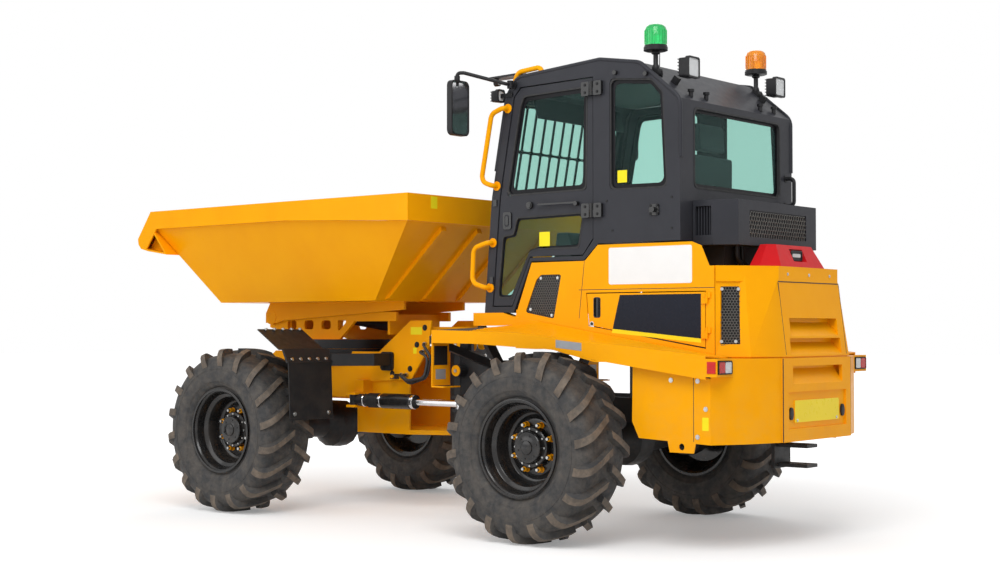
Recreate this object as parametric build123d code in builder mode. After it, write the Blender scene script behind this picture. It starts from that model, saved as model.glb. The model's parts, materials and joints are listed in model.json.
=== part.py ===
# Cabbed articulated site dumper with a swivelling, tipping skip.
# Forward is -Y, the machine's left is +X, up is +Z, millimetres.
# The origin is on the ground below the middle of the machine's length and width.
import os
from math import acos, cos, degrees, hypot, pi, radians, sin, tan

from build123d import *

os.makedirs("parts", exist_ok=True)

# ---- driving dimensions: wheels and axles -------------------------------------------
tyre_r = 537.5
lug_count = 18
lug_w = 62.0
arch_clearance = 14.0
rim_flange_r = 277.0
bead_drop = 15.0
bead_r = rim_flange_r - bead_drop
hub_r = 118.0
hub_cap_r = 86.0
nut_count = 8
nut_circle_r = 134.0
nut_r = 14.0
axle_z = tyre_r
wheel_x = 897.5
rear_axle_y = 1165.0
front_axle_y = -1335.0

# ---- driving dimensions: joints -----------------------------------------------------
steer_y = -160.0
trunnion_z = 800.0
swivel_y = -1160.0
ring_r = 330.0
tip_y = -1680.0
tip_z = 1285.0
ram_bore = 22.2
ram_rod_r = 22.0
ram_barrel_r = 41.0
seat_gap = 0.3

# ---- driving dimensions: rear body --------------------------------------------------
sheet = 6.0
body_x = 620.0
fender_x = 850.0
tail_x = 800.0
tail_z = 590.0
tail_top_z = 1045.0
hood_top_z = 1545.0
hood_band_z = 1455.0
hood_low_z = 1052.0
hood_side_y = 2177.0
rear_y = 2460.0

# ---- driving dimensions: cab --------------------------------------------------------
cab_x = 620.0
cab_wall = 45.0
cab_rear_y = 1955.0
cab_floor_z = 1300.0
waist_z = 1985.0
roof_z = 2745.0
roof_knee_y = 1684.0
roof_knee_z = 2700.0
rear_top_z = 2475.0
post_y = 1395.0
glass_t = 6.0
door_t = 30.0

# ---- driving dimensions: skip -------------------------------------------------------
skip_x = 900.0
spout_x = 870.0
skip_sheet = 10.0
skip_top_z = 2030.0
skip_band_z = 1875.0
skip_floor_z = 1385.0
skip_floor_x = 620.0
skip_mid_y = -907.0
skip_rear_y = 180.0
spout_y = -2320.0
lip_y = -rear_y


# ---- shared shapes ------------------------------------------------------------------
def slab(x0, x1, y0, y1, z0, z1, mode=Mode.ADD):
    with Locations(((x0 + x1) / 2, (y0 + y1) / 2, (z0 + z1) / 2)):
        Box(abs(x1 - x0), abs(y1 - y0), abs(z1 - z0), mode=mode)


def pair(x0, x1, y0, y1, z0, z1, mode=Mode.ADD):
    slab(x0, x1, y0, y1, z0, z1, mode)
    slab(-x1, -x0, y0, y1, z0, z1, mode)


def ccw(pts):
    area = sum(a[0] * b[1] - b[0] * a[1] for a, b in zip(pts, pts[1:] + pts[:1]))
    return pts if area > 0 else pts[::-1]


def rounded(pts, r, flats=2):
    """An outline whose corners are rounded by a few short flats each."""
    made = []
    for k, p in enumerate(pts):
        here = Vector(*p)
        back = (Vector(*pts[k - 1]) - here).normalized()
        ahead = (Vector(*pts[(k + 1) % len(pts)]) - here).normalized()
        half = acos(max(-1.0, min(1.0, back.dot(ahead)))) / 2
        if degrees(half) > 80:
            made.append(p)
            continue
        middle = here + (back + ahead).normalized() * (r / sin(half))
        start = here + back * (r / tan(half)) - middle
        end = here + ahead * (r / tan(half)) - middle
        for i in range(flats + 1):
            spoke = middle + (start * (flats - i) + end * i).normalized() * r
            made.append((spoke.X, spoke.Y))
    return made


def prism(plane, pts, depth, mode, corner=0.0, inset=0.0):
    with BuildSketch(plane) as face:
        Polygon(*ccw(rounded(pts, corner) if corner else pts), align=None)
        if inset:
            offset(amount=-inset, mode=Mode.REPLACE)
    extrude(face.sketch, amount=depth, mode=mode)


def prism_x(pts, x0, x1, mode=Mode.ADD, corner=0.0, inset=0.0):
    lo, hi = sorted((x0, x1))
    prism(Plane.YZ.offset(lo), pts, hi - lo, mode, corner, inset)


def prism_y(pts, y0, y1, mode=Mode.ADD, corner=0.0):
    prism(Plane.XZ.offset(-y1), pts, y1 - y0, mode, corner)


def prism_z(pts, z0, z1, mode=Mode.ADD, corner=0.0):
    prism(Plane.XY.offset(z0), pts, z1 - z0, mode, corner)


def pin(p, q, r, mode=Mode.ADD):
    """A true cylinder, for what turns or slides in a fit."""
    p = Vector(*p)
    q = Vector(*q)
    with BuildSketch(Plane(origin=p, z_dir=q - p)) as face:
        Circle(r)
    extrude(face.sketch, amount=(q - p).length, mode=mode)


def bar(p, q, r, mode=Mode.ADD, sides=12):
    """A round bar or hole in flat sides."""
    p = Vector(*p)
    q = Vector(*q)
    with BuildSketch(Plane(origin=p, z_dir=q - p)) as face:
        RegularPolygon(r if mode == Mode.ADD else r / cos(pi / sides), sides)
    extrude(face.sketch, amount=(q - p).length, mode=mode)


def solid_from(points, faces):
    made = [Face(Wire.make_polygon([points[i] for i in ring], close=True)) for ring in faces]
    solid = Solid(Shell(made))
    if solid.volume > 0:
        return solid
    return Solid(Shell([Face(Wire.make_polygon([points[i] for i in ring[::-1]], close=True)) for ring in faces]))


def flat_loft(rings, closed=False):
    """Solid through rings of equal count, each side cell as two flat triangles."""
    count = len(rings[0])
    points = [p for ring in rings for p in ring]
    faces = []
    last = len(rings) if closed else len(rings) - 1
    for k in range(last):
        for i in range(count):
            a = k * count + i
            b = k * count + (i + 1) % count
            c = (k + 1) % len(rings) * count + (i + 1) % count
            d = (k + 1) % len(rings) * count + i
            faces.append((a, b, c))
            faces.append((a, c, d))
    if not closed:
        faces.append(tuple(range(count - 1, -1, -1)))
        faces.append(tuple(range(len(points) - count, len(points))))
    return solid_from(points, faces)


def turned(section, sides, place):
    """A section of (along, radius) pairs turned in flat sides about the place's Z."""
    rings = []
    for i in range(sides):
        a = 2 * pi * i / sides
        rings.append([place.from_local_coords(Vector(r * cos(a), r * sin(a), h)) for h, r in section])
    return flat_loft(rings, closed=True)


def tube(pts, r, sides=8):
    """A bent round tube, mitred at each bend."""
    path = [Vector(*p) for p in pts]
    run = (path[1] - path[0]).normalized()
    start = Plane(origin=path[0], z_dir=run)
    ring = [start.from_local_coords(Vector(r * cos(2 * pi * i / sides), r * sin(2 * pi * i / sides), 0))
            for i in range(sides)]
    rings = [ring]
    for here, after in zip(path[1:], path[2:] + [None]):
        ahead = (after - here).normalized() if after else run
        mitre = (run + ahead).normalized()
        ring = [p + run * ((here - p).dot(mitre) / run.dot(mitre)) for p in ring]
        rings.append(ring)
        run = ahead
    add(flat_loft(rings))


def save(shape, label):
    shape.label = label
    export_step(shape, f"parts/{label}.step")


# ---- wheels -------------------------------------------------------------------------
bead_x = 152.0
wall_x = 202.5
shoulder_x = 160.0
tread_r = tyre_r - 38.5
wrap_lag = 14.0
# sidewall rings from the lugs' feet to the bead: axial offset, radius
wall_rings = [(wall_x, tyre_r - 117), (wall_x, rim_flange_r + 68), (bead_x, rim_flange_r + 8), (bead_x, bead_r)]
# lug crest from the tread's middle to the shoulder: axial offset, radius, lag in degrees
lug_crest = [(0, tyre_r - 0.8, 0.0), (150, tyre_r - 6, 11.0), (wall_x + 1.5, tyre_r - 82, wrap_lag)]
# lug foot on the carcass: axial offset, radius, lag in degrees
lug_foot = [(0, tread_r, 0.0), (shoulder_x, tread_r, 11.0)]
crest_share = 0.85


def make_tyre():
    """One closed skin: staggered lugs that wrap over the shoulders of a hollow carcass."""
    points = []
    faces = []
    pitch = 360 / lug_count

    def put(x, r, angle):
        points.append((x, r * cos(radians(angle)), r * sin(radians(angle))))
        return len(points) - 1

    def cell(flank, a, b, c, d):
        for tri in ((a, b, c), (a, c, d)):
            faces.append(tri if flank > 0 else tri[::-1])

    lugs = {}
    for flank in (1, -1):
        for k in range(lug_count):
            middle = (k + (0.0 if flank > 0 else 0.5)) * pitch
            for edge in (-1, 1):
                crest = []
                for x, r, lag in lug_crest:
                    half = degrees(lug_w / 2 / r)
                    crest.append(put(flank * x, r, middle - lag + edge * half * crest_share))
                foot = []
                for x, r, lag in lug_foot:
                    foot.append(put(flank * x, r, middle - lag + edge * degrees(lug_w / 2 / r)))
                half = degrees(lug_w / 2 / wall_rings[0][1])
                rings = [put(flank * x, r, middle - wrap_lag + edge * half) for x, r in wall_rings]
                lugs[flank, k, edge] = (crest, foot + rings, middle - wrap_lag + edge * half)
    for flank in (1, -1):
        for k in range(lug_count):
            low_crest, low_foot, low_angle = lugs[flank, k, -1]
            high_crest, high_foot, high_angle = lugs[flank, k, 1]
            after_foot = lugs[flank, (k + 1) % lug_count, -1][1]
            across = k if flank > 0 else (k + 1) % lug_count
            mid_low = lugs[-flank, across, -1][1][0]
            mid_high = lugs[-flank, across, 1][1][0]
            # crest, its two walls, its end at the tread's middle and its end on the sidewall
            for i in (0, 1):
                cell(flank, low_crest[i], low_crest[i + 1], high_crest[i + 1], high_crest[i])
                cell(flank, low_foot[i], low_foot[i + 1], low_crest[i + 1], low_crest[i])
                cell(flank, high_crest[i], high_crest[i + 1], high_foot[i + 1], high_foot[i])
            cell(flank, low_crest[0], high_crest[0], high_foot[0], low_foot[0])
            cell(flank, low_crest[2], low_foot[2], high_foot[2], high_crest[2])
            # sidewall below the lug, then the carcass between this lug and the next
            for i in range(2, len(low_foot) - 1):
                cell(flank, low_foot[i], low_foot[i + 1], high_foot[i + 1], high_foot[i])
            for i in range(1, len(low_foot) - 1):
                cell(flank, high_foot[i], high_foot[i + 1], after_foot[i + 1], after_foot[i])
            cell(flank, high_foot[0], high_foot[1], mid_high, mid_low)
            cell(flank, mid_high, high_foot[1], after_foot[1], after_foot[0])
    # bore between the two beads, zipped from both rings
    bead = []
    for (flank, k, edge), (crest, foot, angle) in lugs.items():
        bead.append((angle % 360, flank, foot[-1]))
    bead.sort()
    last = {1: [b[2] for b in bead if b[1] > 0][-1], -1: [b[2] for b in bead if b[1] < 0][-1]}
    for angle, flank, point in bead:
        tri = (point, last[flank], last[-flank])
        faces.append(tri if flank > 0 else (tri[1], tri[0], tri[2]))
        last[flank] = point
    return solid_from(points, faces)


rim_sides = 20
bead_sag = 2.1
seat_r = bead_r - bead_sag
# rim section, axial offset and radius, for a wheel whose outer side is +x
rim_section = [
    (176, rim_flange_r), (176, bead_r - 6), (150, 242), (96, 238), (88, 214), (-10, 206), (-10, 40), (-40, 40),
    (-40, 190), (-176, bead_r - 6), (-176, rim_flange_r), (-153, rim_flange_r),
    (-153, seat_r), (153, seat_r), (153, rim_flange_r),
]
# hub steps: radius, how far the step stands out of the disc's outer face
hub_steps = [(158, 22), (hub_r, 62), (hub_cap_r, 92), (38, 100)]


def make_rim():
    with BuildPart() as rim_blank:
        add(turned(rim_section, rim_sides, Plane.YZ))
        bar((-40, 0, 0), (-11, 0, 0), 60)
        for r, out in hub_steps[:-1]:
            bar((-12, 0, 0), (out - 10, 0, 0), r, sides=16)
        disc_r, disc_out = hub_steps[-1]
        pin((0, 0, 0), (disc_out - 10, 0, 0), disc_r)
        for i in range(nut_count):
            a = 2 * pi * (i + 0.5) / nut_count
            y = nut_circle_r * cos(a)
            z = nut_circle_r * sin(a)
            with BuildSketch(Plane.YZ.offset(8)) as nut:
                with Locations((y, z)):
                    RegularPolygon(nut_r, 6, rotation=degrees(a))
            extrude(nut.sketch, amount=36)
    return rim_blank.part


tyre_left = make_tyre()
tyre_right = tyre_left.mirror(Plane.YZ)
rim_left = make_rim()
rim_right = rim_left.mirror(Plane.YZ)
# wheel name, side, axle's y
wheel_table = [
    ("fl", 1, front_axle_y),
    ("fr", -1, front_axle_y),
    ("rl", 1, rear_axle_y),
    ("rr", -1, rear_axle_y),
]
for wheel_name, side, wheel_y in wheel_table:
    spot = Location((side * wheel_x, wheel_y, axle_z))
    save((tyre_left if side > 0 else tyre_right).moved(spot), f"tyre_{wheel_name}")
    save((rim_left if side > 0 else rim_right).moved(spot), f"rim_{wheel_name}")

# ---- axles --------------------------------------------------------------------------
# axle housing outline: distance from the middle, radius
hub_end_x = wheel_x - 40 - seat_gap
axle_sides = 14
axle_outline = [(0, 165), (70, 160), (150, 92), (500, 72), (610, 90), (640, 140), (720, 140), (760, 100)]
pad_x = 245.0
for axle_name, axle_y in (("rear_axle", rear_axle_y), ("front_axle", front_axle_y)):
    with BuildPart() as axle:
        outline = [(-x, r) for x, r in axle_outline[::-1]] + axle_outline[1:]
        rings = []
        for x, r in outline:
            ring = []
            for i in range(axle_sides):
                a = 2 * pi * i / axle_sides
                ring.append((x, axle_y + r * cos(a), axle_z + r * sin(a)))
            rings.append(ring)
        add(flat_loft(rings))
        for s in (1, -1):
            bar((s * 640, axle_y, axle_z), (s * hub_end_x, axle_y, axle_z), 112, sides=20)
        pair(pad_x - 25, pad_x + 25, axle_y - 80, axle_y + 80, axle_z, 648.7)
        bar((0, axle_y, axle_z), (0, axle_y - 230, axle_z + 20), 62)
    save(axle.part, axle_name)

# ---- rear chassis and engine --------------------------------------------------------
rail_x = 230.0
rail_side = [(200, 560), (200, 1000), (240, 1000), (420, 800), (2210, 800), (2210, 649), (420, 649), (330, 560)]
with BuildPart() as rear_chassis:
    for s in (1, -1):
        prism_x(rail_side, s * rail_x, s * (rail_x + 30))
    slab(-rail_x, rail_x, 200, 230, 560, 1000)
    for y in (700, 1780, 2180):
        slab(-rail_x, rail_x, y, y + 30, 649, 790)
    bar((0, 196, trunnion_z), (0, 330, trunnion_z), 110, sides=20)
    pin((0, 190, trunnion_z), (0, 340, trunnion_z), 71, mode=Mode.SUBTRACT)
    for s in (1, -1):
        # arms to the tail's sides, to the cab's sill beams and to the fenders' front plates
        tail_arm_x = tail_x - 8 - seat_gap
        prism_y([(s * (rail_x + 25), 649), (s * (rail_x + 25), 790), (s * tail_arm_x, 790), (s * tail_arm_x, 720)],
                1812, 1842)
        prism_y([(s * (rail_x + 25), 700), (s * (rail_x + 25), 800), (s * 575, 1222 - seat_gap),
                 (s * 620, 1222 - seat_gap), (s * 620, 1170)], 500, 530)
        slab(s * rail_x, s * (rail_x + 30), 295, 330 - seat_gap, 880, 1000)
        prism_y([(s * (rail_x + 25), 950), (s * (rail_x + 25), 1000), (s * 835, 1160), (s * 835, 1115)],
                300, 330 - seat_gap)
save(rear_chassis.part, "rear_chassis")

with BuildPart() as engine:
    slab(-215, 215, 1330, 2000, 790 + seat_gap, 1400)
save(engine.part, "engine")

# ---- centre pivot: swings with the axle, and carries the steering pin ---------------
column_r = 80.0
column_z = (566.0, 1150.0)
ram_x = 360.0
ram_z = 730.0
ram_rear_y = 140.0
ram_front_y = -800.0
with BuildPart() as pivot_block:
    bar((0, steer_y, column_z[0]), (0, steer_y, column_z[1]), column_r)
    pin((0, steer_y, column_z[0] - 30), (0, steer_y, column_z[1] + 30), 45.5 - seat_gap)
    prism_x([(steer_y, 640), (steer_y, 1060), (-60, 1060), (110, 900), (110, 690), (60, 640)], -60, 60)
    pin((0, 60, trunnion_z), (0, 320, trunnion_z), 71 - seat_gap)
    bar((0, 90, trunnion_z), (0, 190, trunnion_z), 100)
    slab(50, 275, 60, 130, 685, 775)
    slab(255, 292, 90, 180, 680, 780)
    for z in (680, 764):
        slab(280, 400, 100, 180, z, z + 16)
    for z in (930, 1100):
        bar((60, steer_y + 60, z), (130, steer_y + 60, z), 44)
save(pivot_block.part, "pivot_block")

# ---- front chassis ------------------------------------------------------------------
plate_x = 230.0
plate_side = [
    (-1790, 700), (-1790, 980), (-1700, 1050), (-684, 1050), (-398, 1258), (-212, 1258), (-240, 1074),
    (-395, 866), (-790, 850), (-905, 740), (-1140, 740), (-1230, 700),
]
with BuildPart() as front_chassis:
    for s in (1, -1):
        prism_x(plate_side, s * plate_x, s * (plate_x + 16))
    slab(-plate_x, plate_x, -1780, -1750, 700, 1000)
    slab(-plate_x, plate_x, -700, -684, 830, 1020)
    prism_z([(-plate_x, -480), (plate_x, -480), (plate_x, -300), (95, steer_y + 20), (-95, steer_y + 20),
             (-plate_x, -300)], 1186, 1216)
    prism_z([(-plate_x, -900), (plate_x, -900), (plate_x, -420), (95, steer_y + 20), (-95, steer_y + 20),
             (-plate_x, -420)], 506, 536)
    for z in (506, 1186):
        bar((0, steer_y, z), (0, steer_y, z + 30), 110)
        pin((0, steer_y, z - 1), (0, steer_y, z + 31), 45.5, mode=Mode.SUBTRACT)
    pair(plate_x - 16, plate_x, -900, -420, 506, 960)
    pair(plate_x - 16, plate_x + 16, front_axle_y - 80, front_axle_y + 80, 649, 720)
    slab(-plate_x, plate_x, swivel_y - 260, swivel_y + 260, 985, 1005)
    bar((0, swivel_y, 1000), (0, swivel_y, 1066), ring_r, sides=32)
    bar((0, swivel_y, 1000), (0, swivel_y, 1070), ring_r - 90, mode=Mode.SUBTRACT, sides=20)
    slab(plate_x, 318, ram_front_y - 40, ram_front_y + 40, 680, 860)
    for z in (680, 764):
        slab(300, 400, ram_front_y - 40, ram_front_y + 40, z, z + 16)
save(front_chassis.part, "front_chassis")

# mudguard section behind a front wheel: a sloping top sheet, a strip and a hanging flap
guard_top = [(-1010, 1196), (-1006, 1202), (-800, 1072), (-806, 1068)]
guard_strip = [(-812, 1075), (-796, 1075), (-752, 985), (-768, 985)]
guard_flap = [(-764, 1000), (-756, 1000), (-738, 620), (-746, 620)]
with BuildPart() as mudguards:
    for s in (1, -1):
        prism_x(guard_top, s * 650, s * 1040)
        prism_x(guard_strip, s * 610, s * 1010)
        prism_x(guard_flap, s * 620, s * 1000)
        prism_z([(s * 615, -800), (s * 615, -760), (s * 420, -560), (s * 246.3, -560), (s * 246.3, -640), (s * 400, -640)],
                960, 1040)
        prism_x([(-655, 925), (-545, 925), (-545, 1050), (-655, 1050)], s * (246 + seat_gap), s * 262, corner=18)
save(mudguards.part, "mudguards")

# ---- turntable ----------------------------------------------------------------------
frame_x = 250.0
frame_side = [(-1725, 1215), (-1725, 1300), (-1640, 1316), (-500, 1316), (-500, 1254), (-885, 1254), (-1030, 1130),
              (-1480, 1130), (-1640, 1190)]
frame_gusset_hole = [(-1045, 1180), (-1045, 1262), (-950, 1262)]
frame_slots = (-1500, -1330, -1160)
ram_foot = (-640.0, 1200.0)
with BuildPart() as turntable:
    pin((0, swivel_y, 1066 + seat_gap), (0, swivel_y, 1132), ring_r)
    bar((0, swivel_y, 1060), (0, swivel_y, 1140), ring_r - 90, mode=Mode.SUBTRACT, sides=20)
    for s in (1, -1):
        prism_x(frame_side, s * frame_x, s * (frame_x + 25))
        prism_x(frame_gusset_hole, s * frame_x, s * (frame_x + 25), mode=Mode.SUBTRACT, corner=10)
        for y in frame_slots:
            prism_x([(y - 45, 1200), (y + 45, 1200), (y + 45, 1262), (y - 45, 1262)], s * frame_x,
                    s * (frame_x + 25), mode=Mode.SUBTRACT, corner=18)
        bar((s * frame_x, tip_y, tip_z), (s * (frame_x + 25), tip_y, tip_z), 46)
        pin((s * (frame_x + 25), tip_y, tip_z), (s * (frame_x + 58), tip_y, tip_z), 27 - seat_gap)
    slab(-frame_x, frame_x, -1560, -1530, 1165, 1290)
    # cross member behind the ram's foot, and the two lugs that hold the foot
    slab(-frame_x, frame_x, ram_foot[0] + 40, ram_foot[0] + 60, ram_foot[1] - 35, 1300)
    for s in (1, -1):
        slab(s * 50, s * 70, ram_foot[0] - 35, ram_foot[0] + 45, ram_foot[1] - 35, ram_foot[1] + 35)
save(turntable.part, "turntable")

# ---- skip ---------------------------------------------------------------------------
# half the tub's outer corners: x, y, z; the other half is mirrored
rim_step = 28.0
front_top_y = -2290.0
floor_front_y = -1850.0
floor_mid_y = -1200.0
floor_rear_y = -360.0
tub_corners = [
    (spout_x - rim_step, front_top_y, 1906),
    (skip_x - rim_step, skip_mid_y, 1906),
    (skip_x - rim_step, skip_rear_y - rim_step, skip_band_z - 13),
    (skip_floor_x, floor_front_y, skip_floor_z),
    (skip_floor_x, floor_mid_y, skip_floor_z),
    (skip_floor_x, floor_rear_y, skip_floor_z),
]
# how far each corner moves in, back and up to lie inside the sheet
tub_insets = [(12, 13, 1), (12, 0, 1), (12, -15, 1), (6, 5, skip_sheet), (6, 0, skip_sheet), (6, -4, skip_sheet)]
tub_inner = [(x - a, y + b, z + c) for (x, y, z), (a, b, c) in zip(tub_corners, tub_insets)]


def tub(corners):
    n = len(corners)
    points = list(corners) + [(-x, y, z) for x, y, z in corners]
    side = [(0, 1, 4), (0, 4, 3), (1, 2, 4), (2, 5, 4)]
    faces = side + [tuple(i + n for i in f[::-1]) for f in side]
    faces += [(0, 3, 3 + n, n), (3, 4, 5, 5 + n, 4 + n, 3 + n), (2, 2 + n, 5 + n, 5)]
    faces += [(0, n, 1 + n, 1), (1, 1 + n, 2 + n), (1, 2 + n, 2)]
    return solid_from(points, faces)


def rim_plan(inset):
    half = [(spout_x - inset, spout_y), (skip_x - inset, skip_mid_y), (skip_x - inset, skip_rear_y - inset)]
    return half + [(-x, y) for x, y in half[::-1]]


with BuildPart() as rim_beam:
    prism_x([(spout_y, skip_top_z), (skip_rear_y, skip_top_z), (skip_rear_y, skip_band_z - 13),
             (skip_mid_y, 1906), (spout_y, 1906)], -skip_x, skip_x)
    prism_z(rim_plan(0), 1800, 2100, mode=Mode.INTERSECT)
    prism_z(rim_plan(rim_step + 10), 1800, 2100, mode=Mode.SUBTRACT)

# pouring lip in side view: a sheet folded down and back under to the front wall
lip_outer = [(-2290, skip_top_z), (spout_y, skip_top_z), (lip_y, 1840), (-2452, 1802), (-2425, 1772), (-2345, 1752),
             (-2138, 1722), (-2288, 1895)]
lip_inner = [(-2312, 1996), (-2334, 1998), (-2449, 1843), (-2441, 1807), (-2419, 1782), (-2344, 1763),
             (-2166, 1737), (-2304, 1895)]
lip_cheek = [(-2250, skip_top_z), (spout_y, skip_top_z), (lip_y, 1840), (-2452, 1802), (-2425, 1772), (-2372, 1758),
             (-2256, 1906)]
rib_side = [(130, 1846), (-362, 1388), (-312, 1400), (140, 1816)]
with BuildPart() as skip:
    add(tub(tub_corners))
    add(rim_beam.part)
    prism_x(lip_outer, -spout_x, spout_x)
    add(tub(tub_inner), mode=Mode.SUBTRACT)
    prism_x(lip_inner, -spout_x - 1, spout_x + 1, mode=Mode.SUBTRACT)
    prism_z([(spout_x - 38, front_top_y + 14), (-spout_x + 38, front_top_y + 14), (-spout_x + 38, -2200),
             (spout_x - 38, -2200)], 1904, skip_top_z + 5, mode=Mode.SUBTRACT)
    for s in (1, -1):
        prism_x(lip_cheek, s * (spout_x - skip_sheet), s * spout_x)
        prism_x([(-2300, 1896), (-2400, 1772), (-2160, 1732)], s * 798, s * 806)
    for x in (-520, -175, 175, 520):
        prism_x(rib_side, x - 22, x + 22)
    # floor rails, pivot eyes and the ram's lugs
    for s in (1, -1):
        prism_x([(-1735, 1245), (-1735, 1312), (-1690, 1386), (-400, 1386), (-400, 1330), (-1560, 1262),
                 (-1620, 1245)], s * 285, s * 307)
        bar((s * 283, tip_y, tip_z), (s * 309, tip_y, tip_z), 52)
        pin((s * 280, tip_y, tip_z), (s * 312, tip_y, tip_z), 27, mode=Mode.SUBTRACT)
        slab(s * 45, s * 65, -1390, -1300, 1262, 1386)
save(skip.part, "skip")

# ---- rams ---------------------------------------------------------------------------
ram_head = (-1345.0, 1295.0)
tip_span = hypot(ram_head[0] - ram_foot[0], ram_head[1] - ram_foot[1])
tip_dir = ((ram_head[0] - ram_foot[0]) / tip_span, (ram_head[1] - ram_foot[1]) / tip_span)


def along_tip(distance):
    return (0, ram_foot[0] + tip_dir[0] * distance, ram_foot[1] + tip_dir[1] * distance)


with BuildPart() as tip_barrel:
    pin((-49.7, *ram_foot), (49.7, *ram_foot), 30)
    bar(along_tip(20), along_tip(570), 40)
    pin(along_tip(60), along_tip(571), ram_bore, mode=Mode.SUBTRACT)
save(tip_barrel.part, "tip_ram_barrel")
with BuildPart() as tip_rod:
    pin((-44.7, *ram_head), (44.7, *ram_head), 30)
    pin(along_tip(120), along_tip(tip_span - 5), ram_rod_r)
save(tip_rod.part, "tip_ram_rod")

with BuildPart() as steer_barrel:
    pin((ram_x, ram_front_y, ram_z - 33.7), (ram_x, ram_front_y, ram_z + 33.7), 32)
    bar((ram_x, ram_front_y + 15, ram_z), (ram_x, ram_front_y + 60, ram_z), 28)
    bar((ram_x, ram_front_y + 50, ram_z), (ram_x, ram_front_y + 560, ram_z), ram_barrel_r)
    pin((ram_x, ram_front_y + 60, ram_z), (ram_x, ram_front_y + 561, ram_z), ram_bore, mode=Mode.SUBTRACT)
save(steer_barrel.part, "steer_ram_barrel")
with BuildPart() as steer_rod:
    pin((ram_x, ram_rear_y, ram_z - 33.7), (ram_x, ram_rear_y, ram_z + 33.7), 30)
    pin((ram_x, ram_rear_y - 690, ram_z), (ram_x, ram_rear_y - 10, ram_z), ram_rod_r)
save(steer_rod.part, "steer_ram_rod")

# ---- rear body ----------------------------------------------------------------------
sill_line = ((700.0, 1292.0), (2177.0, 1062.0))


def sill_z(y):
    (y0, z0), (y1, z1) = sill_line
    return z0 + (y - y0) * (z1 - z0) / (y1 - y0)


# fender stations: y, inner edge z, outer top z, outer lower z
fender_stations = [
    (330, 1200, 1196, 1118),
    (640, 1215, 1190, 1116),
    (980, sill_z(980) - 4, 1180, 1098),
    (1251, sill_z(1251) - 4, 1155, 1090),
    (1540, sill_z(1540) - 4, 1128, 1030),
    (2255, sill_z(2255), 1062, 936),
]
fender_in = 626.0
lamp_box = [(806, 2258), (fender_x, 2258), (fender_x, 2326), (690, 2326)]
with BuildPart() as fenders:
    for s in (1, -1):
        sections = []
        for y, z_in, z_top, z_low in fender_stations:
            ring = [(fender_in, z_in), (fender_x, z_top), (fender_x, z_low), (fender_x - 8, z_low),
                    (fender_x - 8, z_top - 8), (fender_in, z_in - 8)]
            sections.append([(s * x, y, z) for x, z in ring])
        add(flat_loft(sections))
        # closing plate at the front, with the step plate that hangs below it
        slab(s * fender_in, s * fender_x, 330, 338, 1112, 1196)
        prism_x([(330, 1118), (338, 1118), (338, 860), (330, 860)], s * 700, s * fender_x)
        slab(s * 700, s * fender_x, 330, 430, 852, 860)
        # tie-down plate under the tail's side
        prism_x([(1985, tail_z + 20), (2165, tail_z + 20), (2150, tail_z - 48), (2000, tail_z - 48)],
                s * (tail_x - 8), s * tail_x)
        bar((s * (tail_x - 10), 2075, tail_z - 16), (s * (tail_x + 2), 2075, tail_z - 16), 18, mode=Mode.SUBTRACT,
            sides=10)
        # arch lip over the rear wheel
        prism_x([(980, 1100), (980, 1092), (1251, 1084), (1540, 1020), (1700, 1020), (1700, 1050), (1690, 1050),
                 (1690, 1028), (1542, 1028), (1253, 1092)], s * 700, s * fender_x)
        # side of the tail behind the wheel
        prism_x([(1770, 1048), (2256.7, 938), (2256.7, tail_z), (1800, tail_z + 20), (1760, 700)],
                s * (tail_x - 8), s * tail_x)
        prism_x([(1756, 700), (1762, 1046), (1770, 1046), (1764, 700), (1808, tail_z + 20), (1800, tail_z + 20)],
                s * fender_in, s * tail_x)
        prism_z([(s * x, y) for x, y in lamp_box], 950, 1046)
        slab(s * 806, s * fender_x, 2250, 2262, 950, 1046)
        slab(s * 700, s * 840, 2316, 2330, 962, 1036, mode=Mode.SUBTRACT)
        # wheel arch: what the tyre needs is free
        arch_z = axle_z
        bar((s * 600, rear_axle_y, arch_z), (s * 900, rear_axle_y, arch_z), tyre_r + arch_clearance,
            mode=Mode.SUBTRACT, sides=48)
save(fenders.part, "fenders")

sill_beam = [(470, 1222), (470, cab_floor_z - seat_gap), (700, cab_floor_z - seat_gap), (770, sill_z(770) - 3),
             (980, sill_z(980) - 3), (980, sill_z(980) - 14), (640, 1222)]
hatch_axis = (body_x + 9, 2127)
hatch_hinges = (1150, 1340)
hatch_seam = 5.0
sill_drop = 30.0
with BuildPart() as side_panels:
    for s in (1, -1):
        for z in hatch_hinges:
            bar((s * hatch_axis[0], hatch_axis[1], z + 30.3), (s * hatch_axis[0], hatch_axis[1], z + 60), 7, sides=10)
            slab(s * (body_x - 2), s * hatch_axis[0], hatch_axis[1], 2150, z + 30.3, z + 60)
        x0 = s * (body_x - sheet)
        x1 = s * body_x
        prism_x([(783, sill_z(783) - sill_drop), (916, 1593), (1305, 1593), (1396, 1682), (2028, 1680), (2088, 1657),
                 (2139, 1545), (2172, 1545), (2172, sill_z(2172) - sill_drop)], x0, x1)
        prism_x([(1330, sill_z(1330) + 25), (1313, 1410), (2112 + hatch_seam, 1410),
                 (2112 + hatch_seam, sill_z(2130) + 25)],
                s * (body_x - 9), s * (body_x + 1), mode=Mode.SUBTRACT)
        # mesh opening in the front panel
        prism_x([(868, 1300), (950, 1490), (985, 1520), (1135, 1520), (1080, 1262)],
                s * (body_x - 9), s * (body_x + 1), mode=Mode.SUBTRACT, corner=12)
        # bracket between the panel and the sill beam
        prism_x([(795, sill_z(795) - 12), (848, sill_z(848) - 12), (848, sill_z(848) + 40), (795, sill_z(795) + 40)],
                s * (body_x - 20), s * (body_x - 5.5))
        prism_x(sill_beam, s * 560, s * (fender_in - seat_gap))
save(side_panels.part, "side_panels")

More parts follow.
